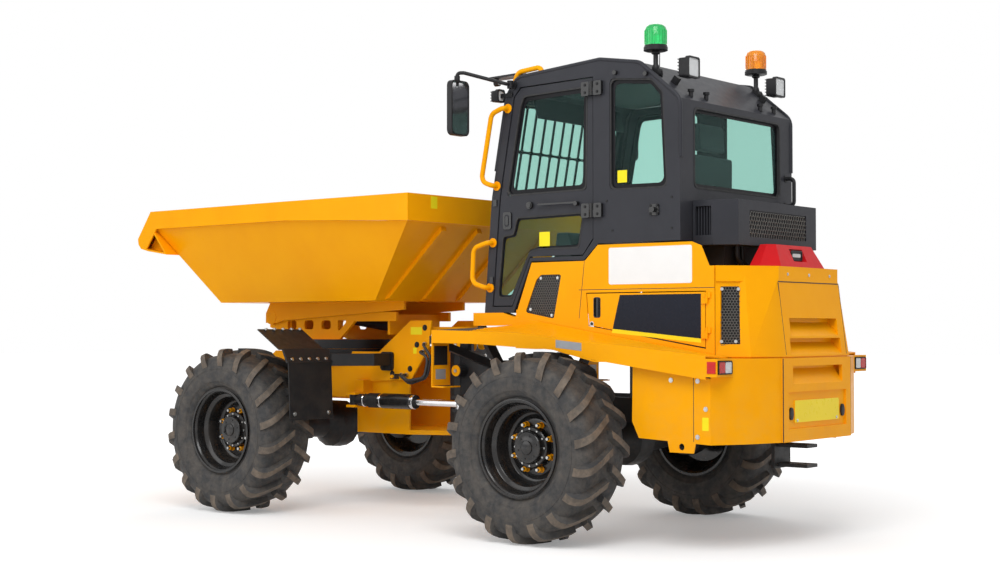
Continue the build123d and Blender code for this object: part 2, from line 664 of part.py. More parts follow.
for s, hatch_name in ((1, "hatch_left"), (-1, "hatch_right")):
    with BuildPart() as hatch:
        prism_x([(1336, sill_z(1336) + 31), (1319, 1404), (2112, 1404), (2112, sill_z(2112) + 31)],
                s * (body_x - sheet), s * body_x)
        prism_x([(1362, 1262), (1362, 1388), (1420, 1388), (1420, 1262)], s * (body_x - 22), s * (body_x - sheet),
                corner=12)
        prism_x([(1368, 1268), (1368, 1382), (1414, 1382), (1414, 1268)], s * (body_x - 18), s * (body_x + 1),
                mode=Mode.SUBTRACT, corner=10)
        slab(s * (body_x - 18), s * (body_x - 4), 1384, 1396, 1268, 1382)
        for z in hatch_hinges:
            pin((s * hatch_axis[0], hatch_axis[1], z), (s * hatch_axis[0], hatch_axis[1], z + 30), 7)
            slab(s * (body_x - 2), s * hatch_axis[0], 2092, 2112, z, z + 30)
            slab(s * (body_x + 0.5), s * hatch_axis[0], 2112, hatch_axis[1], z, z + 30)
    save(hatch.part, hatch_name)

# hood plan at its top and at its foot, left half from the side panel to the middle
hood_in = body_x - sheet - seat_gap
hood_top_half = [(hood_in, 1905), (hood_in, 2176), (body_x, hood_side_y), (500, 2285), (335, 2395)]
hood_low_half = [(hood_in, 1905), (hood_in, 2176), (body_x, hood_side_y), (560, 2360), (375, rear_y - 4)]


def plan_ring(half, inset, z):
    pts = [(x - inset, y - inset if y > 2180 else y) for x, y in half]
    ring = pts + [(-x, y) for x, y in pts[::-1]]
    return [(x, y, z) for x, y in ring]


def hood_block(inset, low, high):
    return flat_loft([plan_ring(hood_low_half, inset, low), plan_ring(hood_top_half, inset, high)])


def rear_face_y(z):
    return 2395 + (hood_top_z - z) / (hood_top_z - hood_low_z) * (rear_y - 4 - 2395)


# louvres: lower z, upper z, half width, y of the face there
louvre_table = [(1165, 1262, 272), (1064, 1152, 290)]
with BuildPart() as rear_hood:
    add(hood_block(0, hood_low_z, hood_top_z))
    add(hood_block(8, hood_low_z, hood_top_z - 8), mode=Mode.SUBTRACT)
    slab(-700, 700, 1890, hood_side_y - 1, 1000, hood_top_z - 8, mode=Mode.SUBTRACT)
    for z0, z1, half in louvre_table:
        slab(-half, half, 2380, rear_y + 10, z0, z1, mode=Mode.SUBTRACT)
        y0 = rear_face_y(z0)
        y1 = rear_face_y(z1)
        prism_x([(y0, z0), (y0 - 8, z0), (y1 - 62, z1 - 22), (y1 - 62, z1), (y1 - 56, z1), (y1 - 56, z1 - 22)],
                -half - 2, half + 2)
        for s in (1, -1):
            prism_x([(y0 - 4, z0), (y1 - 4, z1), (y1 - 62, z1), (y1 - 62, z1 - 22), (y0 - 12, z0)],
                    s * half, s * (half + 6))
    # set-back skirt that stands on the tail's deck
    skirt = [(x, y) for x, y, z in plan_ring(hood_low_half, 7, 0)]
    skirt_inside = [(x, y) for x, y, z in plan_ring(hood_low_half, 14, 0)]
    prism_z(skirt, tail_top_z + seat_gap, hood_low_z + 4)
    prism_z(skirt_inside, tail_top_z, hood_low_z + 5, mode=Mode.SUBTRACT)
    slab(-700, 700, 1890, hood_side_y - 1, 1000, hood_low_z + 5, mode=Mode.SUBTRACT)
    # corner openings, covered by mesh
    for s in (1, -1):
        prism_x([(2196, 1120), (2196, 1432), (2268, 1432), (2300, 1120)], s * 480, s * 700, mode=Mode.SUBTRACT)
    # top lid's overhanging lip
    prism_z([(-628, 2184), (-506, 2294), (-338, 2405), (338, 2405), (506, 2294), (628, 2184), (612, 2186),
             (498, 2280), (334, 2390), (-334, 2390), (-498, 2280), (-612, 2186)], hood_band_z + 5, hood_top_z)
save(rear_hood.part, "rear_hood")

hood_mesh_side = [(2187, 1110), (2187, 1442), (2276, 1442), (2310, 1110)]
hood_meshes = []
for s in (1, -1):
    with BuildPart() as corner_mesh:
        add(hood_block(8 + seat_gap, hood_low_z, hood_top_z - 8))
        add(hood_block(12, hood_low_z, hood_top_z - 8), mode=Mode.SUBTRACT)
        prism_x(hood_mesh_side, s * 480, s * 700, mode=Mode.INTERSECT)
    hood_meshes.append(corner_mesh.part)
with BuildPart() as mesh_panels:
    for s in (1, -1):
        prism_x([(855, 1290), (940, 1500), (978, 1535), (1150, 1535), (1092, 1248)],
                s * (body_x - sheet - 3.3), s * (body_x - sheet - 0.3))
    add(hood_meshes)
save(mesh_panels.part, "mesh_panels")

tail_half = [(800, 2257), (620, 2362), (385, 2446)]


def tail_ring(inset, z0, z1, mode=Mode.ADD):
    pts = [(x - inset, y - inset) for x, y in tail_half] + [(-x + inset, y - inset) for x, y in tail_half[::-1]]
    prism_z(pts, z0, z1, mode)


with BuildPart() as tail_panel:
    tail_ring(0, tail_z, tail_top_z)
    slab(-385, 385, 2440, rear_y, tail_z, tail_top_z)
    tail_ring(8, tail_z - 1, tail_top_z - 8, mode=Mode.SUBTRACT)
    # louvre and the recess that holds the number plate
    slab(-285, 285, 2400, rear_y + 1, 902, 1000, mode=Mode.SUBTRACT)
    prism_x([(rear_y, 902), (rear_y - 8, 902), (rear_y - 62, 985), (rear_y - 62, 1000), (rear_y - 54, 1000),
             (rear_y - 54, 985)], -286, 286)
    slab(-330, 330, rear_y - 12, rear_y + 1, 660, 860, mode=Mode.SUBTRACT)
    slab(-255, 255, rear_y - 12, rear_y - 8, 690, 815)
save(tail_panel.part, "tail_panel")

with BuildPart() as tow_hitch:
    slab(-90, 90, 2210 + seat_gap, 2232, 420, 700)
    for z in (430, 540):
        slab(-60, 60, 2225, 2420, z, z + 20)
    pin((0, 2380, 400), (0, 2380, 580), 16, mode=Mode.SUBTRACT)
save(tow_hitch.part, "tow_hitch")

# ---- cab ----------------------------------------------------------------------------
cab_side = [(556, cab_floor_z), (612, 1993), (723, 2590), (800, 2700), (1408, roof_z), (roof_knee_y, roof_knee_z),
            (cab_rear_y, rear_top_z), (cab_rear_y, 1690), (1400, 1690), (1300, 1600), (912, 1600), (780, cab_floor_z)]
cab_inside = [(600, cab_floor_z + 30), (655, 1993), (765, 2585), (830, 2660), (1408, roof_z - 50), (1660, roof_knee_z - 50),
              (cab_rear_y - cab_wall, rear_top_z - 20), (cab_rear_y - cab_wall, 1730), (1400, 1730), (1300, 1640), (912, 1640),
              (800, cab_floor_z + 30)]
doorway = [(616, cab_floor_z + 35), (672, 1993), (780, 2585), (830, 2640), (post_y - 30, 2650),
           (post_y - 30, 1712), (1290, 1622), (905, 1622), (770, cab_floor_z + 35)]
side_window = [(1480, 1990), (1480, 2630), (1770, 2600), (1845, 2520), (1872, 1985)]
hinge_axis = (cab_x + 16, post_y - 30)
hinge_rows = (1840, 2540)
rear_pane_z = 2440.0
with BuildPart() as cab_frame:
    prism_x(cab_side, -cab_x, cab_x)
    prism_x(cab_inside, -cab_x + cab_wall, cab_x - cab_wall, mode=Mode.SUBTRACT)
    prism_x(doorway, -cab_x - 1, cab_x + 1, mode=Mode.SUBTRACT)
    for s in (1, -1):
        prism_x(side_window, s * (cab_x - cab_wall - 1), s * (cab_x + 1), mode=Mode.SUBTRACT, corner=28)
    prism_y([(-480, waist_z), (-480, rear_pane_z), (480, rear_pane_z), (480, waist_z)], cab_rear_y - 60,
            cab_rear_y + 1, mode=Mode.SUBTRACT, corner=30)
    prism_y([(-540, 1370), (540, 1370), (540, 2560), (-540, 2560)], 500, 770, mode=Mode.SUBTRACT, corner=30)
    for s in (1, -1):
        x, y = hinge_axis
        for z in hinge_rows:
            bar((s * x, y, z), (s * x, y, z + 40), 11, sides=10)
            slab(s * (cab_x - 2), s * (x + 4), y + 16, y + 70, z, z + 80)
            slab(s * (x - 2), s * (x + 4), y + 4, y + 20, z, z + 40)
save(cab_frame.part, "cab_frame")

with BuildPart() as windscreen:
    prism_x([(576, 1360), (627, 1993), (730, 2570), (736, 2570), (633, 1992), (582, 1360)], -600, 600)
    prism_y([(-539.7, 1370.3), (539.7, 1370.3), (539.7, 2559.7), (-539.7, 2559.7)], 500, 770,
            mode=Mode.INTERSECT, corner=30)
with BuildPart() as cab_glass:
    add(windscreen.part)
    for s in (1, -1):
        prism_x(side_window, s * (cab_x - 22), s * (cab_x - 22 + glass_t), corner=28, inset=seat_gap)
    pane_x = 480 - seat_gap
    prism_y([(-pane_x, waist_z + seat_gap), (-pane_x, rear_pane_z - seat_gap), (pane_x, rear_pane_z - seat_gap),
             (pane_x, waist_z + seat_gap)], cab_rear_y - 24, cab_rear_y - 24 + glass_t, corner=30)
save(cab_glass.part, "cab_glass")

door_outline = [(622, cab_floor_z + 41), (678, 1993), (785, 2582), (833, 2634), (post_y - 36, 2644),
                (post_y - 36, 1722), (1287, 1630), (900, 1630), (765, cab_floor_z + 41)]
upper_pane = [(722, 1995), (822, 2520), (850, 2588), (1325, 2600), (1315, 2000)]
lower_pane = [(650, 1385), (690, 1760), (770, 1770), (800, 1868), (1300, 1876), (1262, 1668), (965, 1668),
              (905, 1652), (765, 1385)]
door_in = cab_x - 5 - door_t
for s, side_name in ((1, "left"), (-1, "right")):
    with BuildPart() as door:
        prism_x(door_outline, s * door_in, s * (door_in + door_t))
        prism_x(upper_pane, s * (door_in - 1), s * (cab_x + 1), mode=Mode.SUBTRACT, corner=20)
        prism_x(lower_pane, s * (door_in - 1), s * (cab_x + 1), mode=Mode.SUBTRACT, corner=16)
        x, y = hinge_axis
        for z in hinge_rows:
            pin((s * x, y, z + 40.3), (s * x, y, z + 80), 11)
            slab(s * (cab_x - 7), s * (x + 4), y - 70, y - 16, z, z + 80)
            slab(s * (x - 2), s * (x + 4), y - 20, y - 4, z + 40.3, z + 80)
        # lever handle, lock barrel and the recessed latch
        prism_x([(980, 1932), (1250, 1936), (1258, 1918), (1240, 1924), (980, 1928)], s * (cab_x + 12), s * (cab_x + 22))
        bar((s * (cab_x - 6), 1252, 1926), (s * (cab_x + 22), 1252, 1926), 12, sides=8)
        bar((s * (cab_x - 6), 905, 1932), (s * (cab_x + 12), 905, 1932), 20, sides=12)
        prism_x([(702, 1798), (702, 1898), (760, 1898), (760, 1798)], s * (cab_x - 6), s * (cab_x + 3), corner=12)
    save(door.part, f"door_{side_name}")
    with BuildPart() as door_glass:
        for pane, corner in ((upper_pane, 20), (lower_pane, 16)):
            prism_x(pane, s * (door_in + 13), s * (door_in + 13 + glass_t), corner=corner, inset=seat_gap)
    save(door_glass.part, f"door_glass_{side_name}")

# ---- cab interior -------------------------------------------------------------------
with BuildPart() as seat:
    prism_x([(1262, 1791), (1245, 1850), (1262, 1885), (1640, 1885), (1690, 2380), (1720, 2420), (1770, 2410),
             (1795, 2360), (1760, 1791)], -240, 240)
save(seat.part, "seat")
with BuildPart() as seat_base:
    prism_x([(1410, 1730.3), (1390, 1790.7), (1745, 1790.7), (1740, 1730.3)], -200, 200)
save(seat_base.part, "seat_base")
wheel_hub = (984, 1927)
with BuildPart() as console:
    prism_x([(650, 1330.3), (780, 1330.3), (850, 1700), (800, 1800), (720, 1800)], -120, 120)
    bar((0, 800, 1720), (0, wheel_hub[0] - 0.664 * 12.3, wheel_hub[1] - 0.747 * 12.3), 26)
    prism_z([(330, 1300), (330, 1660), (500, 1660), (500, 1300)], 1730.3, 1960)
save(console.part, "console")
with BuildPart() as steering_wheel:
    hub_plane = Plane(origin=(0, *wheel_hub), z_dir=(0, 0.664, 0.747))
    rim_ring = [(14 * sin(pi * i / 3), 180 + 14 * cos(pi * i / 3)) for i in range(6)]
    add(turned(rim_ring, 16, hub_plane))
    with Locations(hub_plane):
        Cylinder(45, 24)
        Box(350, 26, 10)
        Box(26, 350, 10)
save(steering_wheel.part, "steering_wheel")

# ---- fittings on the cab ------------------------------------------------------------
ac_plan = [(500, cab_rear_y + 5), (500, 2090), (440, 2215), (-440, 2215), (-500, 2090), (-500, cab_rear_y + 5)]
with BuildPart() as ac_box:
    prism_z(ac_plan, 1665, 1915)
    slab(-320, 320, 2195, 2216, 1712, 1860, mode=Mode.SUBTRACT)
    for i in range(5):
        z = 1724 + i * 28
        slab(-322, 322, 2197, 2210, z, z + 9)
    for s in (1, -1):
        slab(s * 470, s * 501, cab_rear_y + 20, cab_rear_y + 122, 1720, 1880, mode=Mode.SUBTRACT)
        for i in range(5):
            slab(s * 468, s * 492, cab_rear_y + 34 + i * 18, cab_rear_y + 40 + i * 18, 1718, 1882)
    slab(-440, 440, cab_rear_y + 0.3, cab_rear_y + 10, 1690, 1900)
save(ac_box.part, "ac_box")

with BuildPart() as lamp_cover:
    with BuildSketch(Plane.XY.offset(hood_top_z)) as low:
        Polygon(*ccw([(-347, 2225), (-347, 2290), (-250, 2370), (250, 2370), (347, 2290), (347, 2225)]), align=None)
    with BuildSketch(Plane.XY.offset(1672)) as high:
        Polygon(*ccw([(-250, 2240), (-250, 2280), (-200, 2310), (200, 2310), (250, 2280), (250, 2240)]), align=None)
    loft(sections=[low.sketch, high.sketch], ruled=True)
    slab(-75, 75, 2295, 2400, 1580, 1650, mode=Mode.SUBTRACT)
    slab(-60, 60, 2290, 2325, 1588, 1642)
save(lamp_cover.part, "lamp_cover")

beacon_y = 1750.0


def rear_roof_z(y):
    """Sloping rear strip of the cab's roof."""
    return roof_knee_z - (y - roof_knee_y) * (roof_knee_z - rear_top_z) / (cab_rear_y - roof_knee_y)


with BuildPart() as beacons:
    for s in (1, -1):
        x = s * 550
        prism_x([(beacon_y - 25, rear_roof_z(beacon_y - 25) + 0.4), (beacon_y + 25, rear_roof_z(beacon_y + 25) + 0.4),
                 (beacon_y + 25, 2672), (beacon_y - 25, 2672)], x - 22, x + 22)
        bar((x, beacon_y, 2660), (x, beacon_y, 2770), 14, sides=8)
        bar((x, beacon_y, 2762), (x, beacon_y, 2792), 68)
        bar((x, beacon_y, 2792), (x, beacon_y, 2885), 62)
        bar((x, beacon_y, 2885), (x, beacon_y, 2915), 44)
save(beacons.part, "beacons")

with BuildPart() as work_lamps:
    for s in (1, -1):
        slab(s * 420, s * 540, 1880, 1960, 2600, 2720)
        prism_x([(1800, rear_roof_z(1800) + 0.7), (1850, rear_roof_z(1850) + 0.7), (1900, 2602), (1882, 2640)],
                s * 465, s * 495)
        slab(s * 590, s * 660, 622, 690, 2560, 2640)
        slab(s * (cab_x + seat_gap), s * (cab_x + 8), 680, 775, 2588, 2612)
save(work_lamps.part, "work_lamps")

with BuildPart() as mirrors:
    for s in (1, -1):
        prism_x([(545, 2345), (545, 2672), (590, 2672), (590, 2345)], s * 805, s * 965, corner=18)
        tube([(s * (cab_x + seat_gap), 785, 2655), (s * (cab_x + 60), 785, 2655), (s * 870, 600, 2725),
              (s * 890, 568, 2725), (s * 890, 568, 2640)], 11)
save(mirrors.part, "mirrors")

# handle corners: y, z, on the cab's side face and 50 mm out from it
handle_table = [
    [(600, 1450), (500, 1480), (510, 1690), (622, 1720)],
    [(652, 2060), (570, 2090), (650, 2490), (738, 2520)],
]
with BuildPart() as grab_handles:
    for s in (1, -1):
        for low, low_bend, high_bend, high in handle_table:
            root = s * (cab_x + seat_gap)
            out = s * (cab_x + 50)
            tube([(root, *low), (out, *low), (out, *low_bend), (out, *high_bend), (out, *high), (root, *high)], 15)
save(grab_handles.part, "grab_handles")

def pillar_y(z):
    """Front face of the windscreen pillars above the waist."""
    return 612 + (z - 1993) * 111 / 597


guard_rows = (2010, 2285, 2560)
guard_out = 16.0
with BuildPart() as front_guard:
    for i in range(5):
        x = -480 + 240 * i
        tube([(x, pillar_y(z) - guard_out, z) for z in guard_rows[::2]], 8, sides=6)
    for z in guard_rows:
        tube([(-572, pillar_y(z) - guard_out, z), (572, pillar_y(z) - guard_out, z)], 8, sides=6)
        foot = [(pillar_y(z + dz) - dy, z + dz) for dy, dz in ((24, -14), (seat_gap, -14), (seat_gap, 14), (24, 14))]
        for s in (1, -1):
            prism_x(foot, s * 548, s * 575)
save(front_guard.part, "front_guard")

with BuildPart() as tail_lamps:
    for s in (1, -1):
        slab(s * 702, s * 838, 2316.3, 2334, 964, 1034)
save(tail_lamps.part, "tail_lamps")

with BuildPart() as antenna:
    bar((0, 1408, roof_z + seat_gap), (0, 1408, roof_z + 32), 12, sides=10)
    bar((0, 1408, roof_z + 30), (0, 1412, roof_z + 170), 3, sides=6)
save(antenna.part, "antenna")
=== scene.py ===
import json
import math

import bmesh
import bpy
from mathutils import Matrix, Vector


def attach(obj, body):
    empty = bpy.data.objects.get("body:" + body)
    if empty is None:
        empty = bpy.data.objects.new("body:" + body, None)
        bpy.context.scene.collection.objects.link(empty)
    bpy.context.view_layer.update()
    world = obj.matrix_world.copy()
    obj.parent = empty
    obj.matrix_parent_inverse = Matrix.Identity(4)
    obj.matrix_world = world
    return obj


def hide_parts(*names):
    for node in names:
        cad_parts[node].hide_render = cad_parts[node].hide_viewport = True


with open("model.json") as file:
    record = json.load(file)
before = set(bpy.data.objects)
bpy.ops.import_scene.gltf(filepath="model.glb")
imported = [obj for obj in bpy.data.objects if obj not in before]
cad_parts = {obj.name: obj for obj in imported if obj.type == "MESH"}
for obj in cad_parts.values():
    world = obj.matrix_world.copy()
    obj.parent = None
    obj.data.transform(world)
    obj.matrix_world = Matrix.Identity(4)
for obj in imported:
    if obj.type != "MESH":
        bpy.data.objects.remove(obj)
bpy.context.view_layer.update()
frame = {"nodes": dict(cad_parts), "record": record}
cadNodes = frame["nodes"]
bodyOf = {n: body for body, members in frame["record"]["behaviour"]["bodies"].items() for n in members}
sides = ((1, "left"), (-1, "right"))


# ---- materials: small helpers first
def newMaterial(name, color, roughness=0.5, metallic=0.0):
    mat = bpy.data.materials.new(name)
    mat.use_nodes = True
    tree = mat.node_tree
    shader = tree.nodes["Principled BSDF"]
    shader.inputs["Base Color"].default_value = (*color, 1)
    shader.inputs["Roughness"].default_value = roughness
    shader.inputs["Metallic"].default_value = metallic
    return mat, tree, shader


def feed(tree, socket, value):
    # links another node's output, or sets a number or a colour on the socket itself
    if isinstance(value, bpy.types.NodeSocket):
        tree.links.new(value, socket)
    else:
        socket.default_value = (*value, 1) if isinstance(value, tuple) else value


def objectPlace(tree):
    return tree.nodes.new("ShaderNodeTexCoord").outputs["Object"]


def objectNoise(tree, scale, detail=4.0, rough=0.55):
    noise = tree.nodes.new("ShaderNodeTexNoise")
    for label, value in (("Scale", scale), ("Detail", detail), ("Roughness", rough),
                         ("Vector", objectPlace(tree))):
        feed(tree, noise.inputs[label], value)
    return noise.outputs["Fac"]


def spread(tree, source, low, high, fromLow=0.3, fromHigh=0.7):
    # turns a 0..1 pattern into a value between low and high
    ranger = tree.nodes.new("ShaderNodeMapRange")
    for label, value in (("From Min", fromLow), ("From Max", fromHigh), ("To Min", low), ("To Max", high),
                         ("Value", source)):
        feed(tree, ranger.inputs[label], value)
    return ranger.outputs["Result"]


def mixColor(tree, factor, first, second):
    # 0, 6 and 7 are the mix node's factor and its two colours, and 2 is the mixed colour
    mixer = tree.nodes.new("ShaderNodeMix")
    mixer.data_type = "RGBA"
    for socket, value in ((0, factor), (6, first), (7, second)):
        feed(tree, mixer.inputs[socket], value)
    return mixer.outputs[2]


def mathNode(tree, operation, a, b):
    node = tree.nodes.new("ShaderNodeMath")
    node.operation = operation
    feed(tree, node.inputs[0], a)
    feed(tree, node.inputs[1], b)
    return node.outputs[0]


def bump(tree, shader, source, distance, strength):
    node = tree.nodes.new("ShaderNodeBump")
    node.inputs["Distance"].default_value = distance
    node.inputs["Strength"].default_value = strength
    tree.links.new(source, node.inputs["Height"])
    tree.links.new(node.outputs["Normal"], shader.inputs["Normal"])


def lowDust(tree, top, bottom):
    # 1 near the ground, 0 above: where mud and dust settle
    split = tree.nodes.new("ShaderNodeSeparateXYZ")
    tree.links.new(objectPlace(tree), split.inputs[0])
    return spread(tree, split.outputs["Z"], 1.0, 0.0, bottom, top)


def unevenRoughness(tree, shader, grain, low, high):
    tree.links.new(spread(tree, objectNoise(tree, *grain), low, high), shader.inputs["Roughness"])


def cloudyColor(tree, shader, factor, first, second):
    tree.links.new(mixColor(tree, factor, first, second), shader.inputs["Base Color"])


def seenDirectly(tree):
    # 1 for rays from the camera, off a gloss or through glass, and 0 for the rest
    path = tree.nodes.new("ShaderNodeLightPath")
    seen = mathNode(tree, "MAXIMUM", path.outputs["Is Camera Ray"], path.outputs["Is Glossy Ray"])
    return mathNode(tree, "MAXIMUM", seen, path.outputs["Is Transmission Ray"])


# ---- paint: cloudy colour, dust low down, a little orange peel
paintLook = {"cloud": (3.0, 5.0), "grime": (9.0, 8.0, 0.7), "grimeEdge": (0.42, 0.62), "dustTop": 1.25,
             "dustBottom": 0.35,
             "wear": (24.0, 6.0, 0.65), "coatRoughness": 0.12, "peel": (260.0, 2.0),
             "peelBump": (0.0004, 0.12)}
paints = {
    # colour, shade, dust, dust amount, roughness, coat, gloss
    "bodyYellow": ((0.97, 0.41, 0.002), (0.93, 0.37, 0.002), (0.55, 0.36, 0.16), 0.12, (0.26, 0.42), 0.0,
                   0.07),
    "cabAnthracite": ((0.034, 0.035, 0.042), (0.028, 0.029, 0.035), (0.2, 0.18, 0.15), 0.05, (0.38, 0.46),
                      0.0, 0.16),
    "glossBlack": ((0.008, 0.008, 0.009), (0.012, 0.012, 0.012), (0.17, 0.13, 0.1), 0.12, (0.16, 0.3), 0.35,
                   0.25),
    # satin black also colours the slots on the skip's lip, as painted shade
    "satinBlackAndSlotShade": ((0.013, 0.013, 0.015), (0.018, 0.018, 0.019), (0.2, 0.16, 0.12), 0.12, (0.34, 0.55), 0.0,
                   0.22),
    "meshBlack": ((0.13, 0.125, 0.115), (0.10, 0.095, 0.085), (0.2, 0.16, 0.12), 0.12, (0.34, 0.55), 0.0,
                  0.3),
}


def makePaint(name, color, shade, dust, dustAmount, roughness, coat, gloss):
    mat, tree, shader = newMaterial(name, color)
    base = mixColor(tree, spread(tree, objectNoise(tree, *paintLook["cloud"]), 0.0, 1.0), color, shade)
    patches = spread(tree, objectNoise(tree, *paintLook["grime"]), 0.0, 1.0, *paintLook["grimeEdge"])
    grime = mathNode(tree, "MULTIPLY", lowDust(tree, paintLook["dustTop"], paintLook["dustBottom"]), patches)
    cloudyColor(tree, shader, mathNode(tree, "MULTIPLY", grime, dustAmount), base, dust)
    unevenRoughness(tree, shader, paintLook["wear"], *roughness)
    shader.inputs["Specular IOR Level"].default_value = gloss
    shader.inputs["Coat Weight"].default_value = coat
    shader.inputs["Coat Roughness"].default_value = paintLook["coatRoughness"]
    bump(tree, shader, objectNoise(tree, *paintLook["peel"]), *paintLook["peelBump"])
    return mat


bodyYellow, cabAnthracite, glossBlack, satinBlackAndSlotShade, meshBlack = [makePaint(name, *row) for name,
                                                                row in paints.items()]

# ---- rubber: dust in patches over a fine grain
rubberLook = {"dust": (14.0, 8.0, 0.68), "dustEdge": (0.4, 0.66), "wear": (40.0, 5.0), "grain": (420.0, 4.0),
              "bump": (0.0006, 0.5)}
rubbers = {
    # colour, dusty colour, dust amount, roughness
    "tyreRubber": ((0.030, 0.030, 0.031), (0.13, 0.11, 0.09), 0.5, (0.62, 0.85)),
    "wornTread": ((0.085, 0.068, 0.054), (0.20, 0.155, 0.115), 0.8, (0.62, 0.85)),
    # the seal rubber also gives the fine dark lines of painted shade in the panel gaps
    "sealRubberAndGapShade": ((0.018, 0.018, 0.019), (0.05, 0.05, 0.05), 0.2, (0.62, 0.85)),
    "hoseRubber": ((0.02, 0.02, 0.022), (0.07, 0.06, 0.055), 0.25, (0.45, 0.65)),
}


def makeRubber(name, color, dusty, amount, roughness):
    mat, tree, shader = newMaterial(name, color)
    dust = spread(tree, objectNoise(tree, *rubberLook["dust"]), 0.0, amount, *rubberLook["dustEdge"])
    cloudyColor(tree, shader, dust, color, dusty)
    unevenRoughness(tree, shader, rubberLook["wear"], *roughness)
    bump(tree, shader, objectNoise(tree, *rubberLook["grain"]), *rubberLook["bump"])
    return mat


tyreRubber, wornTread, sealRubberAndGapShade, hoseRubber = [makeRubber(name, *row) for name, row in rubbers.items()]

# ---- plastic and film: a faint mottle
plasticLook = {"mottle": (11.0,), "wear": (30.0, 5.0), "grain": (500.0, 2.0), "bump": (0.00012, 0.25)}
plastics = {
    # colour, roughness, share of the colour where it is darkest, gloss
    "dashPlastic": ((0.045, 0.045, 0.05), (0.4, 0.58), 0.85, 0.4),
    "headliner": ((0.23, 0.23, 0.24), (0.7, 0.85), 0.85, 0.4),
    "signWhite": ((0.86, 0.86, 0.85), (0.32, 0.42), 0.97, 0.4),
    "signNight": ((0.008, 0.010, 0.020), (0.22, 0.32), 0.9, 0.15),
    "labelGrey": ((0.34, 0.35, 0.37), (0.35, 0.45), 0.85, 0.4),
    "labelYellow": ((0.92, 0.76, 0.01), (0.35, 0.45), 0.96, 0.2),
    "signalRed": ((0.62, 0.012, 0.016), (0.3, 0.42), 0.92, 0.12),
    "plateYellow": ((0.92, 0.70, 0.01), (0.25, 0.35), 0.96, 0.2),
    # the border black also colours the plate of painted shade behind the rear outlet
    "glassBorderAndOutletShade": ((0.006, 0.006, 0.008), (0.25, 0.35), 0.9, 0.12),
}


def mottled(tree, shader, color, grain, darkest):
    pattern = spread(tree, objectNoise(tree, *grain), 0.0, 1.0)
    cloudyColor(tree, shader, pattern, color, tuple(c * darkest for c in color))


def makePlastic(name, color, roughness, darkest, gloss):
    mat, tree, shader = newMaterial(name, color)
    mottled(tree, shader, color, plasticLook["mottle"], darkest)
    unevenRoughness(tree, shader, plasticLook["wear"], *roughness)
    shader.inputs["Specular IOR Level"].default_value = gloss
    bump(tree, shader, objectNoise(tree, *plasticLook["grain"]), *plasticLook["bump"])
    return mat


(dashPlastic, headliner, signWhite, signNight, labelGrey, labelYellow, signalRed, plateYellow,
 glassBorderAndOutletShade) = [makePlastic(name, *row) for name, row in plastics.items()]

# ---- bare metals
metalLook = {"mottle": (20.0,), "darkest": 0.8, "wear": (60.0, 5.0), "grain": (300.0, 2.0),
             "bump": (0.0002, 0.2)}
metals = {
    # colour, roughness
    "chrome": ((0.78, 0.78, 0.79), (0.05, 0.14)),
    "zinc": ((0.55, 0.55, 0.54), (0.3, 0.45)),
    "castIron": ((0.16, 0.16, 0.16), (0.5, 0.7)),
}


def makeMetal(name, color, roughness):
    mat, tree, shader = newMaterial(name, color, metallic=1.0)
    mottled(tree, shader, color, metalLook["mottle"], metalLook["darkest"])
    unevenRoughness(tree, shader, metalLook["wear"], *roughness)
    bump(tree, shader, objectNoise(tree, *metalLook["grain"]), *metalLook["bump"])
    return mat


chrome, zinc, castIron = [makeMetal(name, *row) for name, row in metals.items()]

# ---- lamp lenses
lensLook = {"roughness": (0.08, 0.14), "wear": (50.0,), "ripple": (130.0, 1.0), "bump": (0.0006, 0.25),
            "ior": 1.45}
lenses = {
    # colour, transmission
    "lensRed": ((0.75, 0.012, 0.012), 0.35),
    "lensAmber": ((0.98, 0.33, 0.01), 0.4),
    "lensGreen": ((0.03, 0.62, 0.16), 0.45),
    "lensClear": ((0.85, 0.87, 0.88), 0.3),
}


def makeLens(name, color, transmission):
    mat, tree, shader = newMaterial(name, color)
    shader.inputs["Transmission Weight"].default_value = transmission
    shader.inputs["IOR"].default_value = lensLook["ior"]
    unevenRoughness(tree, shader, lensLook["wear"], *lensLook["roughness"])
    bump(tree, shader, objectNoise(tree, *lensLook["ripple"]), *lensLook["bump"])
    return mat


lensRed, lensAmber, lensGreen, lensClear = [makeLens(name, *row) for name, row in lenses.items()]

# ---- window glass: clear when looked at squarely, more reflecting at a slant
glassLook = {"tint": (0.10, 0.17, 0.165), "clear": (0.80, 0.94, 0.905), "facing": (0.02, 0.45), "blend": 0.2,
             "ior": 1.45,
             "wear": (6.0, 6.0), "roughness": (0.02, 0.09)}
tintedGlass, glassTree, glassShader = newMaterial("tintedGlass", glassLook["tint"])
glassShader.inputs["IOR"].default_value = glassLook["ior"]
glassSee = glassTree.nodes.new("ShaderNodeBsdfTransparent")
glassSee.inputs["Color"].default_value = (*glassLook["clear"], 1)
glassMix = glassTree.nodes.new("ShaderNodeMixShader")
glassSlant = glassTree.nodes.new("ShaderNodeLayerWeight")
glassSlant.inputs["Blend"].default_value = glassLook["blend"]
glassFacing = spread(glassTree, glassSlant.outputs["Facing"], *glassLook["facing"], 0.0, 1.0)
for glassSocket, glassSource in enumerate((glassFacing, glassSee.outputs[0], glassShader.outputs[0])):
    glassTree.links.new(glassSource, glassMix.inputs[glassSocket])
glassTree.links.new(glassMix.outputs[0], glassTree.nodes["Material Output"].inputs["Surface"])
unevenRoughness(glassTree, glassShader, glassLook["wear"], *glassLook["roughness"])

